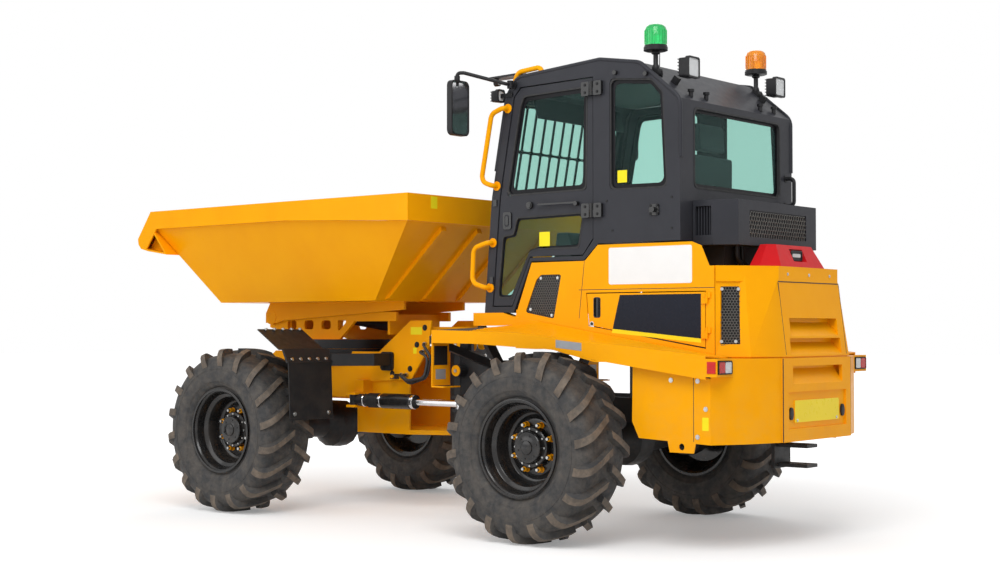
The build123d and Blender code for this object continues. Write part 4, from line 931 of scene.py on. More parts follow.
def lampBox(bm, side, xs, ys, zs, fins):
    x0, x1 = sorted(side * x for x in xs)
    box, (back, front), bezel, corner = rectangle(x0, x1, *zs), ys, workLamp["bezel"], workLamp["bezelCorner"]
    plate(bm, "Y", shrunk(box, workLamp["shell"], workLamp["shellCorner"], 5), back + workLamp["shellBack"],
          front - workLamp["shellFront"])
    plate(bm, "Y", roundLoop(box, workLamp["corner"], 5), front - workLamp["bezelDepth"], front,
          shrunk(box, bezel, corner, 5))
    plate(bm, "Y", shrunk(box, bezel - 0.001, corner, 5), *[front - depth for depth in workLamp["lensDepth"]],
          None, 1)
    for i in range(fins):
        z = zs[0] + (zs[1] - zs[0]) * (i + 0.7) / (fins + 0.4)
        boxAt(bm, (x0 + workLamp["finIn"], x1 - workLamp["finIn"]), (back, back + workLamp["finDepth"]),
              span(z, workLamp["finHalf"]))


bm = bmesh.new()
for side in (1, -1):
    lampBox(bm, side, *workLamp["rear"])
    boxAt(bm, span(side * workLamp["rearArmX"], 0.015), *workLamp["rearArm"], 0,
          Matrix.Rotation(math.radians(workLamp["rearArmTilt"]), 3, "X"), workLamp["rearArmPivot"])
    lampBox(bm, side, *workLamp["front"])
    sideBox(bm, side, *workLamp["frontArm"])
fromBmesh("workLampsDressed", bm, "rear_frame", [satinBlackAndSlotShade, lensClear],
          standsFor="work_lamps")

# ---- mirrors: rounded casing, glass towards the driver, bent arm with a clamp
mirror = {
    "face": (0.805, 0.965, 2.345, 2.672), "back": (0.545, 0.556), "backInset": 0.012, "backCorner": 0.03,
    "frame": (0.553, 0.590), "frameCorner": 0.034, "lip": 0.009, "lipCorner": 0.028,
    "centre": (0.885, 0.570, 2.5085), "glass": (-0.071, 0.071, -0.154, 0.154), "glassDepth": (-0.003, 0.001),
    "tilt": 11,
    "arm": [(0.6205, 0.785, 2.655), (0.70, 0.785, 2.655), (0.868, 0.602, 2.718), (0.889, 0.567, 2.718),
            (0.889, 0.567, 2.64)],
    "armRadius": 0.011, "armBend": 0.03,
    # start, end, radius and sides of the foot, the clamp and the casing's collar
    "collars": (((0.6205, 0.785, 2.655), (0.632, 0.785, 2.655), 0.024, 20),
                ((0.660, 0.785, 2.632), (0.660, 0.785, 2.678), 0.018, 16),
                ((0.889, 0.567, 2.668), (0.889, 0.567, 2.70), 0.017, 16)),
}
bm = bmesh.new()
for side in (1, -1):
    face = flipped(side, rectangle(*mirror["face"]))
    plate(bm, "Y", shrunk(face, mirror["backInset"], mirror["backCorner"], 6), *mirror["back"])
    plate(bm, "Y", roundLoop(face, mirror["frameCorner"], 6), *mirror["frame"],
          shrunk(face, mirror["lip"], mirror["lipCorner"], 6))
    centre = flipped(side, [mirror["centre"]])[0]
    tilted = Matrix.Translation(centre) @ Matrix.Rotation(math.radians(-side * mirror["tilt"]), 4, "Z")
    plate(bm, "Y", roundLoop(rectangle(*mirror["glass"]), mirror["lipCorner"], 6), *mirror["glassDepth"],
          None, 1, tilted)
    bentTube(bm, flipped(side, mirror["arm"]), mirror["armRadius"], mirror["armBend"])
    for start, end, radius, around in mirror["collars"]:
        rod(bm, *flipped(side, (start, end)), radius, around)
fromBmesh("mirrorsDressed", bm, "rear_frame", [satinBlackAndSlotShade, chrome], standsFor="mirrors")

# ---- grab handles: bent tube on round feet
handle = {"root": 0.6205, "out": 0.670, "radius": 0.015, "bend": 0.05, "footDepth": 0.006, "foot": 0.028,
          "lines": ([(0.600, 1.450), (0.500, 1.480), (0.510, 1.690), (0.622, 1.720)],
                    [(0.652, 2.060), (0.570, 2.090), (0.650, 2.490), (0.738, 2.520)])}
bm = bmesh.new()
for side in (1, -1):
    for line in handle["lines"]:
        root = side * handle["root"]
        route = [(root, *line[0])] + [(side * handle["out"], *spot) for spot in line] + [(root, *line[-1])]
        bentTube(bm, route, handle["radius"], handle["bend"], 14, 7)
        for y, z in (line[0], line[-1]):
            sideRod(bm, side, handle["root"], handle["root"] + handle["footDepth"], y, z, handle["foot"], 24)
fromBmesh("grabHandlesDressed", bm, "rear_frame", [bodyYellow], standsFor="grab_handles")

# ---- windscreen guard: round bars with clamps where they cross
guard = {"rows": (2.010, 2.285, 2.560), "out": 0.016, "radius": 0.008, "bars": 11, "width": 0.96,
         "reach": 0.572,
         "clamp": (0.014, 0.0085, 0.011), "padX": 0.5615, "padHalf": 0.0135, "padBack": 0.0003,
         "padFront": 0.0245, "padZ": 0.014,
         # the pillar's foot in y and z, and how far back it leans over its height
         "footY": 0.612, "footZ": 1.993, "lean": 0.111 / 0.597}


def pillarY(z):
    return guard["footY"] + (z - guard["footZ"]) * guard["lean"]


def barY(z):
    return pillarY(z) - guard["out"]


bm = bmesh.new()
lowRow, highRow = guard["rows"][0], guard["rows"][-1]
for i in range(guard["bars"]):
    x = guard["width"] * i / (guard["bars"] - 1) - guard["width"] / 2
    rod(bm, (x, barY(lowRow), lowRow), (x, barY(highRow), highRow), guard["radius"])
    for z in guard["rows"]:
        boxAt(bm, *[span(middle, half) for middle, half in zip((x, barY(z), z), guard["clamp"])])
for z in guard["rows"]:
    rod(bm, (-guard["reach"], barY(z), z), (guard["reach"], barY(z), z), guard["radius"])
    for side in (1, -1):
        boxAt(bm, span(side * guard["padX"], guard["padHalf"]),
              (pillarY(z) - guard["padFront"], pillarY(z) - guard["padBack"]),
              span(z, guard["padZ"]))
fromBmesh("guardDressed", bm, "rear_frame", [satinBlackAndSlotShade], standsFor="front_guard")

# ---- aerial
aerial = {"y": 1.408, "foot": [(2.7455, 0.0), (2.7455, 0.016), (2.752, 0.0165), (2.768, 0.011),
                               (2.778, 0.007), (2.779, 0.0)],
          "rodFoot": 2.776, "tip": (0, 1.4117, 2.9148), "radius": 0.003, "tipRadius": 0.0022}
bm = bmesh.new()
revolve(bm, aerial["foot"], 20, "Z", (0, aerial["y"], 0))
rod(bm, (0, aerial["y"], aerial["rodFoot"]), aerial["tip"], aerial["radius"], 8, 1, aerial["tipRadius"])
fromBmesh("aerial", bm, "rear_frame", [signalRed, satinBlackAndSlotShade], standsFor="antenna")
print("cab fittings made")

# ---- mesh grilles: hexagon wire over the cab's rear outlet, the hood's corners and the side openings; behind the outlet's wire a near-black plate is painted shade for the dark opening
outlet = {"area": rectangle(-0.320, 0.320, 1.712, 1.860), "back": (2.2070, 2.2105), "wireY": 2.2130,
          "inset": 0.010, "cell": 0.0155,
          "wire": 0.0024}
# a near-black plate behind the wire: painted shade for the dark inside of the outlet
bm = bmesh.new()
plate(bm, "Y", outlet["area"], *outlet["back"])
fromBmesh("outletShadeSheet", bm, "rear_frame", [glassBorderAndOutletShade])
instanced("outletMesh", cellShape, cellSizes(outlet["cell"], outlet["wire"]),
          rearSpots(outlet["wireY"], hexGrid(insetLoop(outlet["area"], outlet["inset"]), outlet["cell"])),
          "rear_frame", meshBlack)
hoodLook = {"low": 1.052, "top": 1.545, "edge": (0.620, 2.177), "lowCorner": (0.560, 2.360),
            "topCorner": (0.500, 2.285), "start": 2.196}
grille = {
    "cell": 0.0095, "wire": 0.0016, "corner": rectangle(0.0, 0.15, 1.122, 1.432), "cornerSink": 0.0075,
    "screwSink": 0.006,
    # the corner's opening in y: from, to at its foot, and how far and over what height it narrows
    "from": 2.206, "to": 2.298, "narrows": 0.032 / 0.312, "foot": 1.12, "sideX": 0.6155, "sideInset": 0.004,
    "side": [(0.868, 1.300), (0.950, 1.490), (0.985, 1.520), (1.135, 1.520), (1.080, 1.262)],
    "cornerScrews": ((0.012, 1.135), (0.088, 1.135), (0.012, 1.418), (0.100, 1.418)),
    "sideScrews": ((0.905, 1.318), (1.062, 1.282), (1.105, 1.500), (0.982, 1.500)),
}


def hoodCorner(side, along, z, sink):
    # place, outward and upward directions on the hood's slanted corner face
    edge = Vector(hoodLook["edge"])
    share = (z - hoodLook["low"]) / (hoodLook["top"] - hoodLook["low"])
    run = (Vector(hoodLook["lowCorner"]).lerp(Vector(hoodLook["topCorner"]), share) - edge).normalized()
    out = Vector((run.y, -run.x))
    p = edge + run * ((hoodLook["start"] - edge.y) / run.y + along) - out * sink
    return (side * p.x, p.y, z), (side * out.x, out.y, 0), (0, 0, 1)


wires, screws = [], []
for side in (1, -1):
    for along, z in hexGrid(grille["corner"], grille["cell"]):
        spot = hoodCorner(side, along, z, grille["cornerSink"])
        if grille["from"] < spot[0][1] < grille["to"] - grille["narrows"] * (z - grille["foot"]):
            wires.append(spot)
    wires += sideSpots(side, grille["sideX"], hexGrid(insetLoop(grille["side"], grille["sideInset"]),
                                                      grille["cell"]))
    screws += [hoodCorner(side, along, z, grille["screwSink"]) for along, z in grille["cornerScrews"]]
    screws += sideSpots(side, grille["sideX"], grille["sideScrews"])
instanced("meshWires", cellShape, cellSizes(grille["cell"], grille["wire"]), wires, "rear_frame",
          meshBlack)
instanced("meshScrews", boltShape, smallScrew, screws, "rear_frame", zinc)

# ---- left side: blank sign, notices and dark film; both hatches: recessed handle and lock
notices = (
    # outline, corner radius, skin and face, material
    (rectangle(1.474, 2.030, 1.454, 1.662), 0.012, (0.6195, 0.6212), 0),
    (rectangle(2.205, 2.245, 0.665, 0.735), 0.004, (0.7998, 0.8008), 1),
    ([(1.270, 1.097), (1.450, 1.080), (1.450, 1.124), (1.270, 1.141)], 0, (0.8495, 0.8506), 2),
)
bm = bmesh.new()
for outline, corner, depth, index in notices:
    plate(bm, "X", roundLoop(outline, corner) if corner else outline, *depth, None, index)
fromBmesh("sideSign", bm, "rear_frame", [signWhite, labelYellow, labelGrey])
film = {"depth": (0.6195, 0.6209), "dark": [(1.500, 1.203), (1.550, 1.394), (2.086, 1.394), (2.086, 1.150)],
        "band": [(1.494, 1.180), (1.500, 1.203), (2.086, 1.150), (2.086, 1.127)]}
bm = bmesh.new()
plate(bm, "X", film["dark"], *film["depth"])
plate(bm, "X", film["band"], *film["depth"], None, 1)
fromBmesh("hatchFilm", bm, "side_hatch_left", [signNight, labelYellow])
pull = rectangle(1.3665, 1.4155, 1.2665, 1.3835)
# frame, floor, grip, and the lock in two steps
pullParts = (
    ("plate", roundLoop(pull, 0.012), 0.6045, 0.6218, shrunk(pull, 0.005, 0.010)),
    ("plate", shrunk(pull, 0.003, 0.010), 0.602, 0.6032),
    ("plate", roundLoop(rectangle(1.381, 1.399, 1.269, 1.381), 0.006), 0.6032, 0.6175),
    ("rod", 0.619, 0.6225, 1.355, 1.232, 0.014, 24, 1),
    ("rod", 0.6225, 0.6245, 1.355, 1.232, 0.009, 20, 0),
)
for side, tag in sides:
    bm = bmesh.new()
    addParts(bm, side, pullParts)
    fromBmesh("hatchPull_" + tag, bm, "side_hatch_" + tag, [glossBlack, zinc])

# ---- tail: lamps, blank plate, oval lamps, latch, caps
tailLamp = {
    "box": (0.702, 0.838, 0.964, 1.034), "corner": 0.010, "boxY": (2.3163, 2.3335), "lip": 0.004,
    "inner": 0.008,
    "backInset": 0.003, "backY": (2.3163, 2.3185), "lenses": ((0.708, 0.768, 1), (0.773, 0.833, 0)),
    "lensZ": (0.970, 1.028),
    "lensCorner": 0.006, "lensY": (2.3175, 2.3312), "ribs": 5, "ribZ": 0.979, "ribStep": 0.010,
    "ribRadius": 0.0018,
    "marker": (0.851, 0.0025), "markerYZ": ((2.268, 2.320), (0.968, 1.030)),
}
bm = bmesh.new()
for side in (1, -1):
    box = flipped(side, rectangle(*tailLamp["box"]))
    plate(bm, "Y", roundLoop(box, tailLamp["corner"]), *tailLamp["boxY"],
          shrunk(box, tailLamp["lip"], tailLamp["inner"]), 2)
    plate(bm, "Y", shrunk(box, tailLamp["backInset"], tailLamp["inner"]), *tailLamp["backY"], None, 2)
    for x0, x1, index in tailLamp["lenses"]:
        lens = flipped(side, rectangle(x0, x1, *tailLamp["lensZ"]))
        plate(bm, "Y", roundLoop(lens, tailLamp["lensCorner"]), *tailLamp["lensY"], None, index)
        for i in range(tailLamp["ribs"]):
            ribEnds = [(x, tailLamp["lensY"][1], tailLamp["ribZ"] + i * tailLamp["ribStep"])
                       for x in (x0 + 0.006, x1 - 0.006)]
            rod(bm, *flipped(side, ribEnds), tailLamp["ribRadius"], 8, index)
    boxAt(bm, span(side * tailLamp["marker"][0], tailLamp["marker"][1]), *tailLamp["markerYZ"])
fromBmesh("tailLampsDressed", bm, "rear_frame", [lensRed, lensClear, satinBlackAndSlotShade],
          standsFor="tail_lamps")
tailFit = {
    "plate": rectangle(-0.253, 0.253, 0.692, 0.813), "plateCorner": 0.008, "plateY": (2.4515, 2.4532),
    # half width, half height, from and to in y
    "ovalX": 0.294, "ovalZ": 0.742, "ovals": ((0.020, 0.034, 2.447, 2.4585), (0.013, 0.025, 2.4585, 2.4596)),
    "latch": rectangle(-0.045, 0.045, 0.628, 0.656), "latchY": (2.456, 2.4598), "latchCorner": 0.006,
    "latchInner": 0.005,
    "tongue": rectangle(-0.036, 0.036, 0.6335, 0.6505), "tongueCorner": 0.004, "tongueY": (2.4585, 2.4597),
    "caps": ((2.010, 0.928), (2.178, 0.926), (2.177, 0.630), (2.228, 0.779)),
    # near, far, radius, sides
    "capRods": ((0.799, 0.8035, 0.013, 24), (0.8035, 0.8048, 0.008, 20)),
}
bm = bmesh.new()
plate(bm, "Y", roundLoop(tailFit["plate"], tailFit["plateCorner"]), *tailFit["plateY"])
for x in (tailFit["ovalX"], -tailFit["ovalX"]):
    for halfWidth, halfHeight, near, far in tailFit["ovals"]:
        oval = [(x + halfWidth * u, tailFit["ovalZ"] + halfHeight * v) for u, v in spotsAround(28, 1.0)]
        plate(bm, "Y", oval, near, far, None, 1)
plate(bm, "Y", roundLoop(tailFit["latch"], tailFit["latchCorner"]), *tailFit["latchY"],
      shrunk(tailFit["latch"], tailFit["latchCorner"], tailFit["latchInner"]), 2)
plate(bm, "Y", roundLoop(tailFit["tongue"], tailFit["tongueCorner"]), *tailFit["tongueY"], None, 3)
for side in (1, -1):
    for y, z in tailFit["caps"]:
        for near, far, radius, around in tailFit["capRods"]:
            sideRod(bm, side, near, far, y, z, radius, around, 3)
fromBmesh("tailFittings", bm, "rear_frame", [plateYellow, satinBlackAndSlotShade, bodyYellow, zinc])
tailScrews = rearSpots(2.4052, [(x, 1.503) for x in (-0.24, 0.0, 0.24)]) + rearSpots(2.4522,
    [(x, 0.704) for x in (-0.225, 0.225)])
instanced("tailScrews", boltShape, smallScrew, tailScrews, "rear_frame", zinc)

# ---- rear of the cab: duct, pipes, black hand rail, lamp in the red cover, roof knobs, side studs
cabRear = {
    "duct": ((-0.40, 0.40), (1.966, 2.10), (1.500, 1.6665)), "pipes": ((0.30, 1.60), (0.24, 1.585),
    (-0.36, 1.60)),
    "pipeRadius": 0.014, "pipeBend": 0.04,
    "railX": -0.545, "railY": (1.955, 2.012), "railZ": (1.945, 2.110), "railRadius": 0.012, "railBend": 0.03,
    "railFootY": (1.9545, 1.960), "railFoot": 0.022, "lamp": rectangle(-0.062, 0.062, 1.587, 1.643),
    "lampCorner": 0.012,
    "lampY": (2.300, 2.331), "lampLip": (0.007, 0.009),
    # inset, corner radius, from and to in y, material
    "lampLayers": ((0.006, 0.009, (2.322, 2.327), 0), (0.018, 0.006, (2.326, 2.329), 1)),
    "knobX": (0.46, 0.30, -0.30, -0.46), "knobY": 1.925, "knobs": ((2.498, 2.530, 0.013),
                                                                   (2.528, 2.542, 0.019)),
    "studs": ((1.90, 1.93), (1.90, 1.76), (1.46, 1.93), (1.50, 1.76)), "studX": (0.618, 0.6225),
    "studRadius": 0.007,
}
bm = bmesh.new()
boxAt(bm, *cabRear["duct"])
for x, drop in cabRear["pipes"]:
    bentTube(bm, [(x, 2.12, 1.668), (x, 2.12, drop), (x - 0.05, 2.13, 1.5455)], cabRear["pipeRadius"],
             cabRear["pipeBend"])
x, (root, out), (low, high) = cabRear["railX"], cabRear["railY"], cabRear["railZ"]
bentTube(bm, [(x, root, low), (x, out, low), (x, out, high), (x, root, high)], cabRear["railRadius"],
         cabRear["railBend"], 14, 6)
for z in (low, high):
    rod(bm, *[(x, y, z) for y in cabRear["railFootY"]], cabRear["railFoot"], 20)
plate(bm, "Y", roundLoop(cabRear["lamp"], cabRear["lampCorner"]), *cabRear["lampY"],
      shrunk(cabRear["lamp"], *cabRear["lampLip"]))
for inset, corner, depth, index in cabRear["lampLayers"]:
    plate(bm, "Y", shrunk(cabRear["lamp"], inset, corner), *depth, None, index)
for x in cabRear["knobX"]:
    for z0, z1, radius in cabRear["knobs"]:
        rod(bm, (x, cabRear["knobY"], z0), (x, cabRear["knobY"], z1), radius, 16)
for side in (1, -1):
    for y, z in cabRear["studs"]:
        sideRod(bm, side, *cabRear["studX"], y, z, cabRear["studRadius"])
fromBmesh("cabRearFittings", bm, "rear_frame", [satinBlackAndSlotShade, lensClear])

# ---- roof: yellow hooks, brackets with a lamp at the front corners, gutter
roof = {
    "hookX": 0.60, "hook": [(0.735, 2.600), (0.800, 2.735), (0.965, 2.748), (0.985, 2.706)],
    "hookRadius": 0.015, "hookBend": 0.05,
    "bracket": [(0.545, 2.722), (0.545, 2.732), (0.800, 2.738), (0.850, 2.702), (0.800, 2.702),
                (0.790, 2.724)],
    "bracketX": (0.575, 0.475), "lampX": 0.525, "lampZ": 2.700,
    "lamp": ((0.560, 0.590, 0.020, 0), (0.589, 0.594, 0.016, 1)),
    "neckHalf": 0.006, "neck": ((0.570, 0.582), (2.700, 2.724)),
    "gutter": [(0.640, 2.150), (0.723, 2.590), (0.800, 2.700), (1.408, 2.7445), (1.684, 2.700),
               (1.953, 2.476), (1.953, 2.150)],
    "gutterX": 0.6125, "gutterRadius": 0.0125, "gutterBend": 0.09,
}
hookBm, bracketBm, gutterBm = bmesh.new(), bmesh.new(), bmesh.new()
for side in (1, -1):
    bentTube(hookBm, [(side * roof["hookX"], *p) for p in roof["hook"]], roof["hookRadius"], roof["hookBend"],
             14, 7)
    sidePlate(bracketBm, side, roof["bracket"], *roof["bracketX"])
    x = side * roof["lampX"]
    for y0, y1, radius, index in roof["lamp"]:
        rod(bracketBm, (x, y0, roof["lampZ"]), (x, y1, roof["lampZ"]), radius, 24, index)
    boxAt(bracketBm, span(x, roof["neckHalf"]), *roof["neck"])
    bentTube(gutterBm, [(side * roof["gutterX"], *p) for p in roof["gutter"]], roof["gutterRadius"],
             roof["gutterBend"], 12, 6)
fromBmesh("roofHook", hookBm, "rear_frame", [bodyYellow])
fromBmesh("lampBrackets", bracketBm, "rear_frame", [satinBlackAndSlotShade, lensClear])
fromBmesh("roofGutter", gutterBm, "rear_frame", [cabAnthracite])

# ---- painted shade: fine dark lines standing for the shadow in the gaps between pressed panels and under the hood's lip
gapShade = {
    "width": 0.0035, "side": (0.6190, 0.6204),
    # start, end and the direction of the width
    "sideLines": (((1.300, 1.590), (1.262, 1.262), (1, 0)), ((1.262, 1.425), (2.172, 1.425), (0, 1))),
    "tailSide": 0.8006, "tailDepth": 0.0012, "tailY": 2.150, "tailZ": (0.605, 0.955), "doorX": 0.387,
    "doorYZ": ((2.455, 2.4592), (0.592, 1.043)),
    "hoodX": 0.345, "hood": [(2.4500, 1.062), (2.4555, 1.062), (2.4069, 1.455), (2.4014, 1.455)],
    "across": (((2.455, 2.4598), (0.880, 0.8835)), ((2.4005, 2.4075), (1.4575, 1.4625))),
}
bm = bmesh.new()
for side in (1, -1):
    for start, end, across in gapShade["sideLines"]:
        dy, dz = [gapShade["width"] * share for share in across]
        line = [start, end, (end[0] + dy, end[1] + dz), (start[0] + dy, start[1] + dz)]
        sidePlate(bm, side, line, *gapShade["side"])
    x = side * gapShade["tailSide"]
    boxAt(bm, (x - gapShade["tailDepth"], x), (gapShade["tailY"], gapShade["tailY"] + gapShade["width"]), gapShade["tailZ"])
    boxAt(bm, span(side * gapShade["doorX"], gapShade["width"] / 2), *gapShade["doorYZ"])
    sidePlate(bm, side, gapShade["hood"], gapShade["hoodX"], gapShade["hoodX"] + gapShade["width"])
for yz in gapShade["across"]:
    boxAt(bm, (-gapShade["hoodX"], gapShade["hoodX"]), *yz)
fromBmesh("panelGapShade", bm, "rear_frame", [sealRubberAndGapShade])
print("tail and cab rear made")

# ---- step: chequered riser, grey label, grooved tread; deck: rows of studs
step = {
    "x": 0.775, "riser": (0.060, (0.3378, 0.3392), (0.985, 1.100)),
    "label": (0.045, (0.3378, 0.3388), (0.900, 0.960)),
    "columns": 7, "rows": 8, "startX": 0.724, "stepX": 0.017, "startZ": 0.996, "stepZ": 0.0132,
    "barHalf": (0.005, 0.0022),
    "barY": (0.3390, 0.3404), "pivotY": 0.339, "turn": 45, "grooves": 9, "grooveStep": 0.009,
    "grooveY": (0.346, 0.349),
    "grooveHalf": 0.062, "grooveZ": (0.8595, 0.8625),
}
deck = {"start": 0.330, "end": 0.640,
        # x, then the surface's height at the start and at the end
        "inner": (0.626, 1.200, 1.215), "outer": (0.850, 1.196, 1.190),
        "rows": 11, "columns": 14, "firstX": 0.655, "stepX": 0.017, "firstY": 0.360, "stepY": 0.0185,
        "stagger": 0.009,
        "stud": boltSizes(0.0035, 0.0028, 0.0055, 0.0012)}


def deckHeight(x, y):
    along = (y - deck["start"]) / (deck["end"] - deck["start"])
    across = (x - deck["inner"][0]) / (deck["outer"][0] - deck["inner"][0])
    inner, outer = (edge[1] + (edge[2] - edge[1]) * along for edge in (deck["inner"], deck["outer"]))
    return inner + (outer - inner) * across


bm = bmesh.new()
studs = []
for side in (1, -1):
    for index, part in enumerate((step["riser"], step["label"])):
        boxAt(bm, span(side * step["x"], part[0]), *part[1:], index)
    for i in range(step["columns"]):
        for k in range(step["rows"]):
            x, z = side * (step["startX"] + i * step["stepX"]), step["startZ"] + k * step["stepZ"]
            turn = Matrix.Rotation(math.radians(step["turn"] if (i + k) % 2 else -step["turn"]), 3, "Y")
            boxAt(bm, span(x, step["barHalf"][0]), step["barY"], span(z, step["barHalf"][1]), 0, turn,
                  (x, step["pivotY"], z))
    for i in range(step["grooves"]):
        boxAt(bm, span(side * step["x"], step["grooveHalf"]),
              [y + i * step["grooveStep"] for y in step["grooveY"]], step["grooveZ"])
    for i in range(deck["rows"]):
        for k in range(deck["columns"]):
            x = deck["firstX"] + deck["stepX"] * i
            y = deck["firstY"] + deck["stepY"] * k + (deck["stagger"] if i % 2 else 0)
            studs.append(((side * x, y, deckHeight(x, y)), (0, 0, 1), (0, 1, 0)))
fromBmesh("stepGrip", bm, "rear_frame", [satinBlackAndSlotShade, labelGrey])
instanced("deckStuds", boltShape, deck["stud"], studs, "rear_frame", meshBlack)

# ---- slew ring: a grooved lower race and a plain upper one
slew = {"y": -1.16, "segments": 64,
        "front_frame": ("slewRingLower", [(1.001, 0.3302), (1.001, 0.3325), (1.030, 0.3325), (1.033, 0.3300),
                                          (1.038, 0.3300),
                                          (1.041, 0.3325), (1.0655, 0.3325), (1.0655, 0.3302)]),
        "swivel_frame": ("slewRingUpper", [(1.068, 0.3302), (1.068, 0.3325), (1.1315, 0.3325),
                                           (1.1315, 0.3302)])}
for body in ("front_frame", "swivel_frame"):
    name, section = slew[body]
    bm = bmesh.new()
    revolve(bm, section, slew["segments"], "Z", (0, slew["y"], 0), 0, True)
    fromBmesh(name, bm, body, [satinBlackAndSlotShade])

# ---- front frame: chassis bolts, mudguard screws, caps on the pivot bosses
chassis = {
    "plateX": 0.2462, "plateBolts": ((-0.269, 1.211), (-0.339, 1.099), (-0.665, 0.990), (-0.560, 0.905),
                                     (-1.70, 0.80), (-1.70, 0.94),
                                     (-0.40, 0.94)),
    "padX": 0.2632, "padBolts": ((-0.635, 0.95), (-0.565, 0.95), (-0.60, 1.022)),
    "bolt": boltSizes(0.013, 0.010, 0.020, 0.0025),
}
mudguard = {"firstX": 0.68, "stepX": 0.075, "count": 5, "top": (-0.99, 1.2018), "topFacing": (0, 0.06, 1),
            "strip": (-0.7655, 1.010),
            "stripIn": 0.02, "stripFacing": (0, 1, 0.65), "flapX": (0.66, 0.96), "flap": (-0.7378, 0.66),
            "screw": boltSizes(0.009, 0.007, 0.014, 0.002)}
pivotCap = {"y": -0.10, "rows": (0.930, 1.100), "rods": ((0.1295, 0.134, 0.036, 28, 0),
                                                         (0.134, 0.140, 0.012, 6, 1))}
bolts, guardScrews, bm = [], [], bmesh.new()
for side in (1, -1):
    bolts += sideSpots(side, chassis["plateX"], chassis["plateBolts"]) + sideSpots(side, chassis["padX"],
        chassis["padBolts"])
    for i in range(mudguard["count"]):
        x = mudguard["firstX"] + mudguard["stepX"] * i
        guardScrews.append(((side * x, *mudguard["top"]), mudguard["topFacing"], (0, 1, 0)))
        guardScrews.append(((side * (x - mudguard["stripIn"]), *mudguard["strip"]), mudguard["stripFacing"],
                            (1, 0, 0)))
    guardScrews += [((side * x, *mudguard["flap"]), (0, 1, 0), (0, 0, 1)) for x in mudguard["flapX"]]
    for z in pivotCap["rows"]:
        for near, far, radius, around, index in pivotCap["rods"]:
            sideRod(bm, side, near, far, pivotCap["y"], z, radius, around, index)
instanced("chassisBolts", boltShape, chassis["bolt"], bolts, "front_frame", satinBlackAndSlotShade)
instanced("mudguardScrews", boltShape, mudguard["screw"], guardScrews, "front_frame", zinc)
fromBmesh("pivotCaps", bm, "centre_pivot", [bodyYellow, zinc])

# ---- steering ram: collars, gland and boot
ram = {
    "x": 0.36, "z": 0.73, "bore": 0.0405, "edge": 0.002, "segments": 32,
    # from, to, radius, material
    "sleeves": ((-0.700, -0.688, 0.0445, 0), (-0.660, -0.560, 0.0450, 1), (-0.552, -0.532, 0.0475, 0),
                (-0.530, -0.272, 0.0505, 2),
                (-0.270, -0.244, 0.0475, 0)),
    "ridges": 9, "ridgeY": -0.655, "ridgeStep": 0.0112, "ridge": ((0, 0.0445), (0.003, 0.0485),
                                                                  (0.006, 0.0445)),
}
bm = bmesh.new()
for y0, y1, radius, index in ram["sleeves"]:
    bore, edge = ram["bore"], ram["edge"]
    section = [(y0, bore), (y0, radius - edge), (y0 + edge, radius), (y1 - edge, radius), (y1, radius - edge),
               (y1, bore)]
    revolve(bm, section, ram["segments"], "Y", (ram["x"], 0, ram["z"]), index, True)
for i in range(ram["ridges"]):
    section = [(ram["ridgeY"] + i * ram["ridgeStep"] + along, radius) for along, radius in ram["ridge"]]
    revolve(bm, section, ram["segments"], "Y", (ram["x"], 0, ram["z"]), 1, True)
fromBmesh("steerRamCollars", bm, "steer_barrel", [chrome, satinBlackAndSlotShade, glossBlack])

# ---- chassis plate: two short hoses, a junction block and small yellow notices
hose = {"radius": 0.0095, "bend": 0.06, "plateX": 0.2465, "outs": (0.275, 0.300), "nut": (0.016, 0.0135),
        "block": ((0.246, 0.285), (-0.545, -0.500), (0.872, 0.905)),
        "cap": (0.285, 0.296, -0.522, 0.888, 0.012, 16, 2),
        "noticeX": (0.2460, 0.2468), "notices": (((-0.395, -0.295), (1.165, 1.215)),
                                                 ((-0.372, -0.342), (1.040, 1.080)))}
bm = bmesh.new()
for i, out in enumerate(hose["outs"]):
    x, low, high = hose["plateX"], (-0.470 + 0.045 * i, 0.900), (-0.262 - 0.012 * i, 1.105 - 0.05 * i)
    bentTube(bm, [(x, *low), (out, *low), (out, -0.38, 0.842 + 0.02 * i), (out, -0.225, 0.885),
                  (out, -0.192, 1.02),
                  (out, *high), (x, *high)], hose["radius"], hose["bend"], 12, 6)
    for y, z in (low, high):
        rod(bm, (x, y, z), (x + hose["nut"][0], y, z), hose["nut"][1], 6, 1)
boxAt(bm, *hose["block"])
sideRod(bm, 1, *hose["cap"])
for yz in hose["notices"]:
    boxAt(bm, hose["noticeX"], *yz, 3)
fromBmesh("chassisHoses", bm, "front_frame", [hoseRubber, zinc, bodyYellow, labelYellow])

# ---- skip: wear strip on the pouring lip, its slots drawn as black boxes of painted shade for the holes; yellow notice on the rear band
lip = {"top": (-2.320, 2.030), "foot": (-2.460, 1.840), "halfX": 0.86, "stripY": (-0.0035, 0.002),
       "stripZ": (-0.205, -0.055),
       "slots": 9, "slotRun": 1.52, "slotHalf": 0.045, "slotY": (-0.0042, 0), "slotZ": (-0.138, -0.122),
       "notice": rectangle(0.630, 0.690, 1.945, 2.020), "noticeY": (0.1795, 0.1808)}
lipRun = (Vector(lip["foot"]) - Vector(lip["top"])).normalized()
lipTurn = Matrix.Rotation(-math.atan2(-lipRun.x, -lipRun.y), 3, "X")
bm = bmesh.new()


def onLip(xs, ys, zs, materialIndex):
    # a box laid out straight down from the lip's top edge, then turned onto its slope
    y, z = lip["top"]
    boxAt(bm, xs, [y + shift for shift in ys], [z + shift for shift in zs], materialIndex, lipTurn, (0, y, z))


onLip((-lip["halfX"], lip["halfX"]), lip["stripY"], lip["stripZ"], 0)
